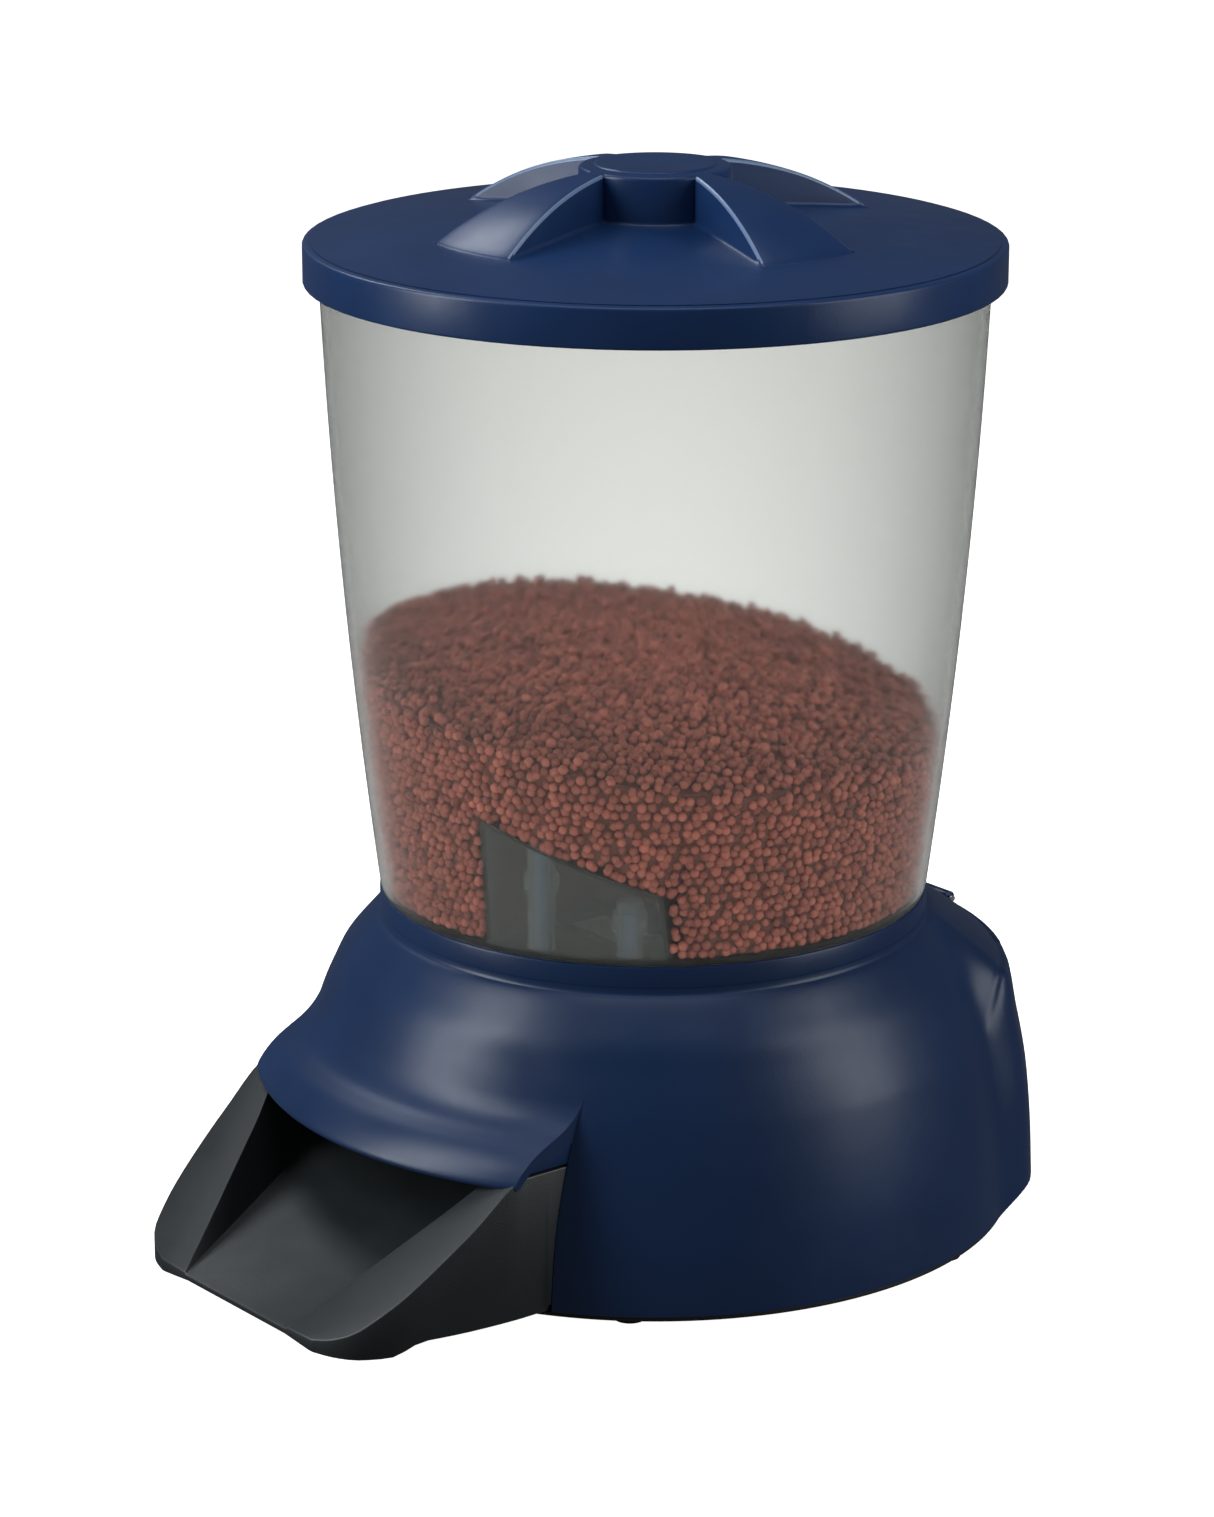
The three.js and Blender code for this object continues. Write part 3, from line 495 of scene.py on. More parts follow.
def build_lid():
    eighth = lid_columns()
    around = []
    for quarter in range(4):
        for column in eighth[:-1]:
            around.append((quarter * math.pi / 2, 1, column))
        for column in reversed(eighth[1:]):
            around.append(((quarter + 1) * math.pi / 2, -1, column))
    rows = lid_rows()
    rim = rounded([(LID_R - 3.5, 383.0), (LID_R, SKIRT_TOP), (LID_R, SKIRT_LOW), (LID_R - 2.2, SKIRT_LOW),
                   (LID_R - 2.2, SKIRT_TOP - 3.2), (118, 382.1), (60, 387), (0.05, 389.5)], 1.1, 5)
    # The last row of the cone takes the place of the outline's first corner.
    rim = [p for p in rim if not (p[0] > LID_R - 3.6 and p[1] > SKIRT_TOP + 0.65)]
    points = []
    for start, sign, column in around:
        for row in rows:
            r = row[0]
            angle = start + sign * lid_angle(column, r)
            points.append((r * math.sin(angle), -r * math.cos(angle), lid_height(row, column, r)))
        outer = start + sign * lid_angle(column, LID_R)
        for r, z in rim:
            points.append((r * math.sin(outer), -r * math.cos(outer), z))
    count = len(rows) + len(rim)
    lid = make("lid_moulding", points, ring_faces(len(around), count, True), M["lid"], 40)
    lid.data.materials.append(M["lid_edge_highlight"])
    # The faces along the arms' upper edges take that lighter blue, a painted highlight line.
    for face in lid.data.polygons:                  # a light line along the arms' upper edges
        x, y, z = face.center / MM
        y -= AXIS_Y / MM
        r, along, across = math.hypot(x, y), max(abs(x), abs(y)), min(abs(x), abs(y))
        on_edge = HUB_R < along < CROSS_R - 1 and abs(across - arm_half_width(r) + 0.35) < 0.5
        face.material_index = int(on_edge and z > max(dome_height(r) - 1.2, cone_height(along) + 1))
    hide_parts("lid")
    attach(lid, "lid")

    low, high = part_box("lid_seal")
    bottom, top = low[2] / MM, high[2] / MM
    profile = rounded([(121.5, bottom), (129, bottom), (129, top), (121.5, top)], 1.0)
    seal = lathe("seal_ring", profile, 120, M["rubber"])
    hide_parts("lid_seal")
    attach(seal, "lid")


# ---------------------------------------------------------------------- hopper

def hopper_radius(z):
    """Outside of the wall, which tapers a little faster towards the bottom."""
    drop = 370 - z
    return 127 - 0.04 * drop - 0.000185 * drop * drop


def wall_radius(z):
    return hopper_radius(z) - HOPPER_WALL


def build_hopper():
    heights = np.linspace(133, HOPPER_RIM - 0.8, 26)
    foot_in, foot_out = wall_radius(HOPPER_FOOT), hopper_radius(HOPPER_FOOT)
    outside = [(foot_out - 0.5, HOPPER_FOOT), (foot_out - 0.1, HOPPER_FOOT + 0.3)]
    outside += [(hopper_radius(z), z) for z in heights]
    rim = [(hopper_radius(HOPPER_RIM) - 0.3, HOPPER_RIM - 0.3), (hopper_radius(HOPPER_RIM) - 1.1, HOPPER_RIM),
           (wall_radius(HOPPER_RIM) + 0.3, HOPPER_RIM - 0.3)]
    inside = [(wall_radius(z), z) for z in heights[::-1]]
    wall = lathe("hopper_wall", [*outside, *rim, *inside, (foot_in + 0.02, HOPPER_FOOT)], 180, M["frost"])
    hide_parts("hopper")

    edge = foot_in - 0.3
    profile = [(0.01, HOPPER_UNDERSIDE), (SPIGOT_R - 0.4, HOPPER_UNDERSIDE),
               (SPIGOT_R, HOPPER_UNDERSIDE + 0.4), (SPIGOT_R, HOPPER_FOOT), (edge, HOPPER_FOOT),
               (edge, HOPPER_FLOOR - 0.3), (edge - 0.4, HOPPER_FLOOR), (0.01, HOPPER_FLOOR)]
    floor = lathe("hopper_bottom", profile, 180, M["frost"])
    boolean(floor, block("slot_tool", 20, 54, -62, -40, 120, 135, M["frost"]))
    finish_mesh(floor, 35)
    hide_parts("hopper_floor")

    profile = rounded([(100.8, 120.5), (SPIGOT_R, 120.5), (SPIGOT_R, 127), (100.8, 127)], 0.5, 3)
    spigot = lathe("hopper_socket", profile, 180, M["frost"])
    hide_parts("hopper_spigot")
    for piece in (wall, floor, spigot):
        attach(piece, "hopper")


HOOD_AZ = math.radians(35)                      # the way the hood faces
HOOD_FOOT = (-37.5, 34)                         # its left and right foot, across its front
HOOD_TOP = ((-38, 181), (32, 157))              # its top corners: across, height
BOSSES = [("left", 40.6, -87.0, 172.0, 160.0), ("right", 68.4, -67.4, 152.0, 148.0)]   # x, y, top, collar


def hood_prism(name, grow, inner, outer, floor):
    """The hood's front outline pushed from radius `inner` to `outer` along its own facing."""
    (left, high), (right, low) = HOOD_TOP
    outline = [(HOOD_FOOT[0] - grow, floor), (HOOD_FOOT[1] + grow, floor),
               (right + grow, low + grow), (left - grow, high + grow)]
    across = np.array([math.cos(HOOD_AZ), math.sin(HOOD_AZ)])
    facing = np.array([math.sin(HOOD_AZ), -math.cos(HOOD_AZ)])
    points = []
    for reach in (inner, outer):
        for u, z in outline:
            place = across * u + facing * reach
            points.append((place[0], place[1], z))
    faces = [*ring_faces(2, 4, False), (3, 2, 1, 0), (4, 5, 6, 7)]
    return make(name, points, faces, M["clear"])


def cavity(name, clearance, low, high):
    """The space inside the hopper's wall between two heights, as a boolean tool."""
    heights = np.linspace(low, high, 12)
    side = [(wall_radius(z) - clearance, z) for z in heights]
    return lathe(name, [(0.01, low), *side, (0.01, high)], 180, M["clear"])


def build_hood():
    floor = HOPPER_FLOOR + 0.3
    hood = hood_prism("hood_moulding", 0, 40, 130, floor)
    boolean(hood, cavity("hood_space", 0.5, floor, 220), "INTERSECT")
    hollow = hood_prism("hood_hollow", -2, 38, 130, floor - 3)
    boolean(hollow, cavity("hollow_space", 2.4, floor - 2, 220), "INTERSECT")
    boolean(hood, hollow)
    bevel(hood, 0.9, 2, edge_material=M["hood_edge"])
    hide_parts("outlet_hood")
    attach(hood, "hopper")
    for side, x, y, top, collar in BOSSES:
        foot = floor + 0.2
        tube = [(3.3, foot), (5.2, foot), (5.2, collar - 8), (6.6, collar - 7.4), (6.6, collar - 0.6),
                (5.9, collar), (5.2, collar), (5.2, top - 0.5), (4.7, top), (3.3, top)]
        boss = turned(f"hood_boss_{side}", tube, (x, y), M["boss"])
        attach(boss, "hopper")
        shank = [(0.01, foot), (2.0, foot), (2.6, floor + 1.5), (2.6, top - 5), (1.8, top - 4.2),
                 (0.01, top - 4)]
        screw = turned(f"hood_rod_{side}", shank, (x, y), M["rod"])
        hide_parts(f"hood_screw_{side}")
        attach(screw, "hopper")


# --------------------------------------------------------------------- pellets

HEAP_R, HEAP_TOP = 116, 225          # reach of the heap and height of its middle
HEAP_LOW_SIDE = math.radians(115)


def feed_height(r, azimuth):
    """Height of the heap, which slopes down towards its low side."""
    at_wall = 206 - 20 * np.cos(azimuth - HEAP_LOW_SIDE)
    return HEAP_TOP - (HEAP_TOP - at_wall) * (np.minimum(r, HEAP_R) / HEAP_R) ** 1.8


def hood_top(azimuth):
    """Height at which pellets rest on the hood beside the wall, or None where there is no hood."""
    (left, high), (right, low) = HOOD_TOP
    across = 108 * math.sin(azimuth - HOOD_AZ)
    if math.cos(azimuth - HOOD_AZ) < 0 or not left - 1.5 < across < HOOD_FOOT[1] + 1.5:
        return None
    return high - (across - left) * (high - low) / (right - left) + 1.5


def wall_pellets():
    """Centres of the pellets that lie against the wall, in staggered rows."""
    places = []
    pitch = PELLET * 0.84
    lowest = HOPPER_FLOOR + 2.2
    z = lowest
    row = 0
    while z < 240:
        radius = wall_radius(z) - PELLET / 2 - 0.35
        count = int(2 * math.pi * radius / (PELLET * 1.03))
        for k in range(count):
            azimuth = 2 * math.pi * (k + 0.5 * (row % 2)) / count
            azimuth += RANDOM.uniform(-0.3, 0.3) * PELLET / radius
            height = max(z + RANDOM.uniform(-0.24, 0.24) * PELLET, lowest)
            covered = hood_top(azimuth)
            if covered and covered - pitch < height:
                height = max(height, covered)           # the lowest row lies on the hood
            if height > feed_height(radius, azimuth) or (covered and height < covered):
                continue
            inward = radius - RANDOM.uniform(0, 0.7)
            places.append((inward * math.sin(azimuth), -inward * math.cos(azimuth), height))
        z += pitch
        row += 1
    return places


def top_pellets():
    """Centres of the pellets on the heap's surface, with a few strays on top."""
    places = []
    pitch = PELLET * 0.97
    reach = 118
    rows = int(2 * reach / (pitch * 0.87))
    for i in range(rows):
        y = -reach + i * pitch * 0.87
        for k in range(int(2 * reach / pitch)):
            x = -reach + (k + 0.5 * (i % 2)) * pitch + RANDOM.uniform(-0.9, 0.9)
            shifted = y + RANDOM.uniform(-0.9, 0.9)
            r = math.hypot(x, shifted)
            azimuth = math.atan2(x, -shifted)
            height = feed_height(r, azimuth)
            if r > wall_radius(height) - PELLET * 0.75:
                continue
            places.append((x, shifted, height + RANDOM.uniform(-1.0, 0.8)))
            if RANDOM.random() < 0.12:
                places.append((x + 1.2, shifted + 0.8, height + 2.4))
    return places


def ball():
    """Points and faces of a small ball: a cube cut once each way and pushed out to a sphere."""
    corners = {}
    points, faces = [], []
    for axis in range(3):
        for side in (-1, 1):
            grid = []
            for i in (-1, 0, 1):
                for j in (-1, 0, 1):
                    place = [0, 0, 0]
                    place[axis] = side
                    place[(axis + 1) % 3] = i
                    place[(axis + 2) % 3] = j * side
                    key = tuple(place)
                    if key not in corners:
                        corners[key] = len(points)
                        points.append(np.array(key) / np.linalg.norm(key))
                    grid.append(corners[key])
            for i in range(2):
                for j in range(2):
                    a = grid[i * 3 + j]
                    faces.append((a, grid[(i + 1) * 3 + j], grid[(i + 1) * 3 + j + 1], grid[i * 3 + j + 1]))
    return np.array(points), np.array(faces)


def pellet_piece(name, places):
    """One mesh of many pellets, each with its own size, turn and tone."""
    points, faces = ball()
    total = len(places)
    sizes = RANDOM.normal(1.0, 0.06, total).clip(0.84, 1.12) * PELLET / 2
    squash = RANDOM.uniform(0.92, 1.05, (total, 3))
    spin = RANDOM.normal(size=(4, total))
    w, x, y, z = spin / np.linalg.norm(spin, axis=0)
    turn = np.array([
        [1 - 2 * (y * y + z * z), 2 * (x * y - w * z), 2 * (x * z + w * y)],
        [2 * (x * y + w * z), 1 - 2 * (x * x + z * z), 2 * (y * z - w * x)],
        [2 * (x * z - w * y), 2 * (y * z + w * x), 1 - 2 * (x * x + y * y)],
    ])
    cloud = np.einsum("ijn,kj->nki", turn, points) * squash[:, None, :] * sizes[:, None, None]
    cloud += np.array(places)[:, None, :]
    offsets = np.arange(total)[:, None, None] * len(points)
    all_faces = (faces[None] + offsets).reshape(-1, 4)
    mesh = bpy.data.meshes.new(name)
    mesh.vertices.add(total * len(points))
    mesh.vertices.foreach_set("co", to_metres(cloud.reshape(-1, 3)).ravel())
    mesh.loops.add(all_faces.size)
    mesh.loops.foreach_set("vertex_index", all_faces.ravel())
    mesh.polygons.add(len(all_faces))
    mesh.polygons.foreach_set("loop_start", np.arange(len(all_faces)) * 4)
    mesh.update(calc_edges=True)
    mesh.shade_smooth()
    tone = mesh.attributes.new("tone", "FLOAT", "POINT")
    shades = RANDOM.beta(2.2, 2.6, total)
    tone.data.foreach_set("value", np.repeat(shades, len(points)))
    mesh.materials.append(M["pellet"])
    piece = bpy.data.objects.new(name, mesh)
    bpy.context.scene.collection.objects.link(piece)
    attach(piece, "hopper")


def build_feed():
    places = wall_pellets()
    half = len(places) // 2
    pellet_piece("pellets_low", places[:half])
    pellet_piece("pellets_high", places[half:])
    pellet_piece("pellets_top", top_pellets())

    def reach(z):
        return wall_radius(z) - PELLET * 0.8

    def core_profile(azimuth):
        """The mass behind the pellets, drawn in to leave the hood's space free."""
        bottom = 131.1
        covered = hood_top(azimuth)
        split = (covered or 168) + 2
        low = [(38 if covered else reach(z), z) for z in np.linspace(bottom, split, 5)]
        top = float(feed_height(reach(205), azimuth)) - 1.1
        high = [(reach(z), z) for z in np.linspace(split + 0.05, top, 5)]
        surface = [(r, float(feed_height(r, azimuth)) - 1.0) for r in np.linspace(reach(top) - 3, 1, 14)]
        return [(0.01, bottom), *low, *high, *surface, (0.01, HEAP_TOP - 0.9)]

    # The heap's darker finish is painted shade for the depths among the pellets.
    core = sweep("feed_heap", core_profile, 120, M["core"], 60)
    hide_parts("pellet_feed")
    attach(core, "hopper")


# ------------------------------------------------------------------------ base

# Outlines of the wall, radius and height, from the neck down.
DOME = [(107.3, 118.1), (109.2, 116.7), (115.8, 109.5), (122.3, 101.5), (126.3, 93.4), (129.6, 86.0),
        (132.6, 77.5), (134, 72), (137.5, 55), (140.5, 35), (142.0, 16), (142.6, 4.36)]
BULGE = [(107.4, 118.7), (109.4, 118.2), (112.2, 116.6), (122, 109.5), (130.4, 103.3), (134.6, 99.8),
         (136.4, 97.9), (139.0, 96.6), (143.3, 77.9), (147.2, 58), (149.6, 34), (150.7, 11.3)]
VISOR = [(129.6, 86.0), (131.6, 81.6), (134.6, 77.4), (138.6, 73.9), (143.4, 71.0), (148.2, 67.9),
         (152.2, 64.3), (154.9, 61.0), (156.3, 58.6), (156.5, 57.0), (155.8, 56.3), (154.6, 56.9)]
VISOR_UNDER = [(151.6, 60.6), (147.6, 64.0), (142.6, 66.6), (137.2, 68.2), (133.2, 69.6), (130.6, 73.0),
               (128.6, 79.0)]
JOIN = 5                     # index in DOME where the visor leaves it
PER_SPAN = 4                 # points drawn for each span of DOME
LIP_POINTS = 4               # points of the lip before the dome's own
SKIN = 2.6                   # thickness of the wall
# Outline, y and height, of the small upright web that closes each side under the visor.
CHEEK = [(-102, 61.2), (-129.5, 61.2), (-124, 65.5), (-108, 71.5), (-102, 74)]


def bulge_share(azimuth):
    """0 on the round dome, 1 on the rear bulge that holds the timer."""
    from_rear = abs(azimuth - math.pi)
    return 1 - ease((from_rear - math.radians(46)) / math.radians(11))


def inner_line(points):
    """The wall's inside: each point moved in along the outline's normal."""
    line = [np.array(p) for p in points]
    out = []
    for i, place in enumerate(line):
        along = line[min(i + PER_SPAN, len(line) - 1)] - line[max(i - PER_SPAN, 0)]
        along /= np.linalg.norm(along)
        out.append(tuple(place + SKIN * np.array([along[1], -along[0]])))
    return out


def base_outline(share):
    """Wall profile: down the outside, round the foot and back up the inside."""
    control = [(d[0] + (b[0] - d[0]) * share, d[1] + (b[1] - d[1]) * share) for d, b in zip(DOME, BULGE)]
    outside = smooth(control, PER_SPAN)
    ledge = 4.34 + 6.46 * share
    foot = [(outside[-1][0] - 0.4 * share, ledge), (142.6, ledge - 0.02), (142.6, 4.3), (142.3, 4.0),
            (140.2, 4.0)]
    inside = [(r, max(z, ledge + SKIN * share)) for r, z in inner_line(outside)[PER_SPAN:]]
    foot.append((140.2, ledge + SKIN * share - 0.2 * (1 - share) - 0.01))
    lip = [(104.95, 120.95), (106.8, 120.95), (107.0, 120.85), (107.0, 119.0)]
    return [*lip, *outside], foot, [*reversed(inside), (106.6, 115.4), (104.95, 115.4)]


def cut_azimuth(r):
    """Azimuth of the mouth's side at this radius; the mouth's sides are straight."""
    return math.asin(min(MOUTH / r, 1.0))


def build_base():
    join = LIP_POINTS + JOIN * PER_SPAN
    visor = smooth(VISOR, 5)[1:]
    under = smooth(VISOR_UNDER, 4)
    points, faces = [], []

    domes = 220                     # steps from one side of the mouth round the back to the other
    for step in range(domes + 1):
        way = step / domes
        out, foot, inn = base_outline(bulge_share(math.radians(38) + way * math.radians(284)))
        loop = [*out, *foot, *inn]
        for r, z in loop:
            edge = cut_azimuth(r)
            azimuth = edge + way * (2 * math.pi - 2 * edge)
            points.append((r * math.sin(azimuth), -r * math.cos(azimuth), z))
    loop_count = len(loop)
    faces += ring_faces(domes + 1, loop_count, False)
    inner_join = len(loop) - 3 - (JOIN - 1) * PER_SPAN      # the inside point level with the join
    low_loop = list(range(join, inner_join + 1))            # the section beside the mouth
    faces.append(tuple(reversed(low_loop)))
    faces.append(tuple(domes * loop_count + k for k in low_loop))

    plain_out, plain_foot, plain_in = base_outline(0)
    front_loop = [*plain_out[:join + 1], *visor, *under]
    front_loop += [*plain_foot, *plain_in][inner_join - len(plain_out):]    # and up the inside
    start = len(points)
    fronts = 72                     # steps across the front, over the mouth
    for step in range(fronts + 1):
        t = -1 + 2 * step / fronts
        for r, z in front_loop:
            azimuth = t * cut_azimuth(r)
            points.append((r * math.sin(azimuth), -r * math.cos(azimuth), z))
    front_count = len(front_loop)
    faces += [tuple(start + k for k in face) for face in ring_faces(fronts + 1, front_count, False)]
    visor_loop = list(range(join, join + len(visor) + len(under) + 2))
    faces.append(tuple(start + k for k in reversed(visor_loop)))
    faces.append(tuple(start + fronts * front_count + k for k in visor_loop))
    shell = make("base_moulding", points, faces, M["base"], 38)

    door = block("door_tool", -COVER_HALF - 0.3, COVER_HALF + 0.3, 100, 165, 10.8, 98.3, M["base"])
    boolean(shell, door)
    lug = rod("lug_tool", 2.6, (-11.5, HINGE_Y, HINGE_Z), (11.5, HINGE_Y, HINGE_Z), M["base"])
    boolean(shell, lug, "UNION")
    finish_mesh(shell, 38)
    for side in (-1, 1):
        points = [(side * x, y, z) for x in (79.8, CHUTE_HALF) for y, z in CHEEK]
        sides = [(4, 3, 2, 1, 0), (5, 6, 7, 8, 9)]
        web = make("cheek_web", points, [*ring_faces(2, 5, False), *sides], M["base"])
        bevel(web, 0.4, 2)
        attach(web, "base")
    collar = [(104.7, 115.4), (104.7, 121.05), (107, 121.05), (107, 128.2), (106.8, 128.8), (106.2, 129),
              (104.3, 129), (103.9, 128.8), (103.8, 128.4), (103.8, 119.8), (96.4, 119.8), (96, 119.4),
              (96, 115.8), (96.4, 115.4)]
    ring = lathe("collar_moulding", collar, 180, M["base"])
    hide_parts("neck_ring")
    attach(ring, "base")
    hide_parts("base_shell")
    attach(shell, "base")


# ----------------------------------------------------------------------- chute

def ramp_height(y):
    return 4 + (y - CHUTE_LIP) * RAMP_SLOPE


WALL_TOP = 60.2
# From the lip inwards: y, outer half width, wall top, inner half width, floor half width.
WALL_KEYS = [
    (CHUTE_LIP, 49, 5.2, 33.5, 32.5), (-199, 58, 7.4, 35, 34), (-194, 65.5, 11, 37.6, 35.8),
    (-186, 70.5, 17, 41.6, 38.8), (-178, 74, 23, 45.7, 41.6), (-165, 77.5, 33.2, 52.3, 46.4),
    (-150, 80.3, 44.8, 59.9, 51.8), (-130, CHUTE_HALF, WALL_TOP, 70, 59),
    (-119, CHUTE_HALF, WALL_TOP, 70, 61), (-97, CHUTE_HALF, WALL_TOP, 70, 61),
]
WALL_CURVES = [np.array(smooth([(key[0], key[column]) for key in WALL_KEYS], 8)) for column in range(1, 5)]


def chute_section(right, below, y):
    """One closed ring: the right half given from foot to floor and back below, then mirrored."""
    ring = right + [(-x, z) for x, z in reversed(right)] + [(-x, z) for x, z in reversed(below)] + below
    return [(x, y, z) for x, z in ring]


def build_chute():
    front = [CHUTE_LIP, -201.6, -201, -200, -199, -197.5, -195.5, -193, -190, -186, -182, -178, -174]
    front += [-169, -164, *np.linspace(-158, -118.2, 12), -117, -107, -97]
    rings = []
    for y in front:
        outer, top, inner, floor_half = (np.interp(y, *curve.T) for curve in WALL_CURVES)
        outer, top = min(outer, CHUTE_HALF), min(top, WALL_TOP)
        floor = ramp_height(y)
        foot = 7.0 if y > -118 else 0.2 + 4.8 * ease((y + 184) / 14)
        right = [(outer, foot), (outer, top), (inner, top - 0.4), (floor_half, floor)]
        below = [(floor_half - 1, floor - 2.4), (outer - 2.4, foot)]
        rings.append(chute_section(right, below, y))
    for y in (-95, -70, -46):       # the narrower tail inside the base
        floor = ramp_height(y)
        top = min(floor + 9, 54.8)
        right = [(64.5, floor - 2), (64.5, top), (62.5, top), (62, floor)]
        below = [(61, floor - 2.4), (62.1, floor - 2)]
        rings.append(chute_section(right, below, y))
    count = len(rings[0])
    points = [p for ring in rings for p in ring]
    faces = ring_faces(len(rings), count, False)
    faces.append(tuple(range(count)))
    faces.append(tuple(range((len(rings) - 1) * count, len(rings) * count))[::-1])
    chute = make("chute_moulding", points, faces, M["chute"], 30)
    # The rounded edges take the lighter grey, a painted highlight.
    bevel(chute, 0.55, 2, 28, M["chute_edge"])
    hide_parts("chute")
    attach(chute, "chute")


# ----------------------------------------------------------------- timer cover

def build_cover():
    corner_r, corner_z = BULGE[7]           # the cover starts here, just below the bulge's edge
    outside = [(corner_r + (z - corner_z) * -0.2, z) for z in (97.2, 96.9)] + smooth(BULGE[7:], 8)[1:]
    inside = inner_line(outside)
    columns = np.linspace(-COVER_HALF, COVER_HALF, 61)
    points = []
    loop = [*outside, *reversed(inside)]
    for x in columns:
        for r, z in loop:
            points.append((x, math.sqrt(r * r - x * x), z))
    count = len(loop)
    faces = ring_faces(len(columns), count, False)
    faces.append(tuple(range(count))[::-1])
    faces.append(tuple((len(columns) - 1) * count + k for k in range(count)))
    cover = make("cover_moulding", points, faces, M["base"], 38)
    boolean(cover, block("notch_tool", -12, 12, 128, 150, 94.2, 110, M["base"]))
    for x in (-17, 17):
        knuckle = rod("knuckle_tool", 2.6, (x - 5, HINGE_Y, HINGE_Z), (x + 5, HINGE_Y, HINGE_Z), M["base"])
        boolean(cover, knuckle, "UNION")
    bevel(cover, 0.5, 2, 40)
    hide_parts("timer_cover")
    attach(cover, "timer_cover")


# ------------------------------------------------ feet, plate and inner pieces

def build_feet():
    profile = [(0.01, 0.0), (5.4, 0.0), (6.1, 0.25), (6.5, 0.9), (6.5, 1.5), (6.2, 1.7), (2.8, 1.7),
               (2.8, 6.2), (2.4, 6.5), (0.01, 6.5)]
    for number in range(1, 7):
        foot = turned(f"rubber_foot_{number}", profile, centre_of(f"foot_{number}"), M["rubber"])
        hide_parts(f"foot_{number}")
        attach(foot, "base")


def build_plate():
    outline = [(0.01, 2.0), (141.5, 2.0), (141.5, 3.7), (138.5, 3.7), (138.5, 4.4), (0.01, 4.4)]
    profile = rounded(outline, 0.4, 2)
    profile = [p if p[0] > 0.5 else (0.01, p[1]) for p in profile]
    plate = lathe("plate_moulding", profile, 160, M["plate"])
    boolean(plate, block("hatch_tool", -58, 58, 37, 97, 0, 10, M["plate"]))
    for number in range(1, 7):
        x, y = centre_of(f"foot_{number}")
        boolean(plate, rod("foot_tool", 3.1, (x, y, 0), (x, y, 10), M["plate"], 24))
    for number in range(1, 5):
        x, y = centre_of(f"base_screw_{number}")
        boolean(plate, rod("seat_tool", 4.0, (x, y, 0), (x, y, 4.2), M["plate"], 24))
    finish_mesh(plate, 35)
    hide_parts("base_plate")
    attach(plate, "base")


def refine(node, width, material, body):
    """A CAD node's own shape with its edges rounded."""
    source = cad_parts[node]
    piece = bpy.data.objects.new(f"{node}_finished", source.data.copy())
    bpy.context.scene.collection.objects.link(piece)
    weld(piece, 1e-6)
    join = piece.modifiers.new("flatten", "DECIMATE")
    join.decimate_type = "DISSOLVE"
    join.angle_limit = math.radians(1)
    bake(piece)
    bevel(piece, width, 2, 35)
    piece.data.materials.clear()
    piece.data.materials.append(M[material])
    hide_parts(node)
    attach(piece, body)


def carry_on(names, material):
    """CAD nodes whose shape is right keep it and get a finished material."""
    for name in names:
        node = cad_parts[name]
        node.data.materials.clear()
        node.data.materials.append(M[material])


def build_inner():
    refine("control_panel", 0.3, "panel", "base")
    refine("panel_frame", 0.4, "panel", "base")
    refine("battery_door", 0.3, "plate", "battery_door")
    for number in range(1, 5):
        refine(f"button_{number}", 0.8, "key", f"button_{number}")
        carry_on([f"battery_{number}"], "jacket")
        carry_on([f"base_screw_{number}"], "steel")
    carry_on(["lcd_window"], "clear")
    carry_on(["lcd_module"], "display")
    carry_on(["timer_board"], "board")
    carry_on(["battery_tray", "mechanism_deck"], "plate")
    carry_on(["battery_contact_left", "battery_contact_right", "motor_pinion"], "brass")
    carry_on(["dispenser_drum", "dispenser_housing", "housing_end_cap"], "white")
    carry_on(["drum_gear", "reduction_gear"], "gear")
    carry_on(["drum_shaft", "reduction_axle", "motor_shaft", "motor", "cover_hinge_pin",
              "deck_screw_1", "deck_screw_2", "gearbox_plate_inner", "gearbox_plate_outer",
              "gearbox_pillar_1", "gearbox_pillar_2", "gearbox_pillar_3"], "steel")


# ----------------------------------------------------------- camera and studio

COOL_WHITE = (0.93, 0.97, 1.0)


def direction(azimuth, elevation):
    """Unit vector from the middle towards a place given in degrees."""
    a, e = math.radians(azimuth), math.radians(elevation)
    return np.array([math.sin(a) * math.cos(e), -math.cos(a) * math.cos(e), math.sin(e)])


def aim(thing, place, forward):
    """Puts a camera or lamp at a place, looking along `forward`."""
    thing.location = Vector(place)
    thing.rotation_euler = Vector(forward).to_track_quat("-Z", "Y").to_euler()


def build_camera():
    """A long lens in front and to the right, looking slightly down."""
    camera = bpy.data.cameras.new("camera")
    camera.sensor_width = 36.0
    camera.lens = 113.1
    camera.shift_x = 0.0036
    camera.clip_end = 50
    holder = bpy.data.objects.new("camera", camera)
    bpy.context.scene.collection.objects.link(holder)
    place = (1.3691, -1.1286 + AXIS_Y, 0.7156)
    aim(holder, place, (-0.745, 0.600, -0.290))
    bpy.context.scene.camera = holder


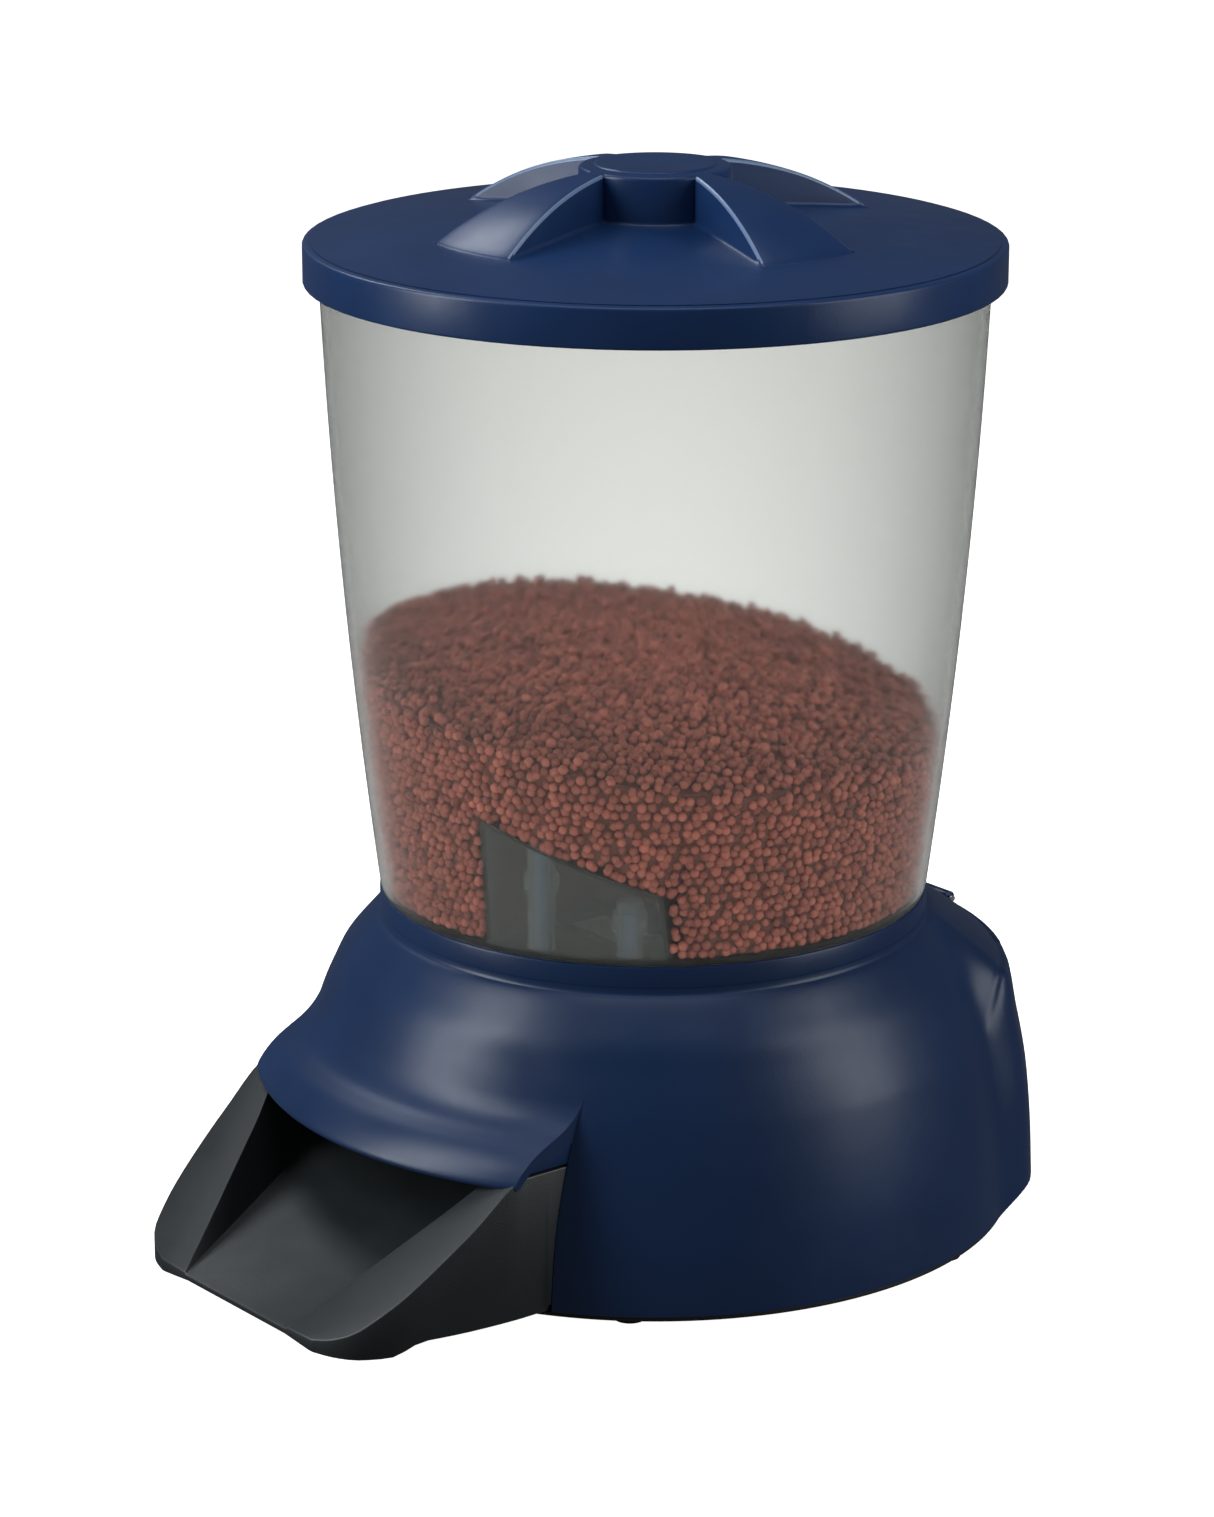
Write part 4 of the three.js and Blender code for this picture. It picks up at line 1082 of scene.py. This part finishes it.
def softbox(name, azimuth, elevation, distance, width, height, watts):
    """A rectangular lamp that faces the middle of the feeder; sizes in metres."""
    lamp = bpy.data.lights.new(name, "AREA")
    lamp.shape = "RECTANGLE"
    lamp.size = width
    lamp.size_y = height
    lamp.energy = watts
    lamp.color = COOL_WHITE
    holder = bpy.data.objects.new(name, lamp)
    bpy.context.scene.collection.objects.link(holder)
    towards = direction(azimuth, elevation)
    place = np.array((0, 0, 0.2)) + towards * distance
    aim(holder, place, -towards)


def build_studio():
    floor_material, _, _, shader = new_material("pale_floor")
    shader.inputs["Base Color"].default_value = (0.9, 0.9, 0.9, 1)
    shader.inputs["Roughness"].default_value = 1.0
    shader.inputs["Emission Color"].default_value = (1, 1, 1, 1)
    shader.inputs["Emission Strength"].default_value = 1.0
    half = 6.0
    corners = [(-half, -half, 0), (half, -half, 0), (half, half, 0), (-half, half, 0)]
    mesh = bpy.data.meshes.new("floor")
    mesh.from_pydata(corners, [], [(0, 1, 2, 3)])
    mesh.materials.append(floor_material)
    floor = bpy.data.objects.new("floor", mesh)
    bpy.context.scene.collection.objects.link(floor)
    floor.visible_glossy = False
    floor.visible_diffuse = False

    world = bpy.data.worlds.new("studio")
    world.use_nodes = True
    bpy.context.scene.world = world
    nodes, links = world.node_tree.nodes, world.node_tree.links
    sky = nodes["Background"]
    rays = nodes.new("ShaderNodeLightPath")
    seen = nodes.new("ShaderNodeMath")
    seen.operation = "MAXIMUM"
    links.new(rays.outputs["Is Camera Ray"], seen.inputs[0])
    links.new(rays.outputs["Is Transmission Ray"], seen.inputs[1])
    level = nodes.new("ShaderNodeMapRange")
    level.inputs["To Min"].default_value = 0.08
    level.inputs["To Max"].default_value = 1.0
    links.new(seen.outputs[0], level.inputs["Value"])
    links.new(level.outputs["Result"], sky.inputs["Strength"])
    sky.inputs["Color"].default_value = (1, 1, 1, 1)

    softbox("key_left", -22, 24, 1.5, 0.5, 1.5, 20)
    softbox("side_right", 122, 20, 1.5, 0.8, 1.4, 12)
    softbox("back_left", -90, 46, 1.6, 0.5, 0.5, 5)
    softbox("overhead", 50, 86, 1.6, 1.2, 1.2, 7.5)
    bpy.context.scene.view_settings.view_transform = "Standard"


build_camera()
build_studio()
build_lid()
build_hopper()
build_hood()
build_feed()
build_base()
build_chute()
build_cover()
build_feet()
build_plate()
build_inner()
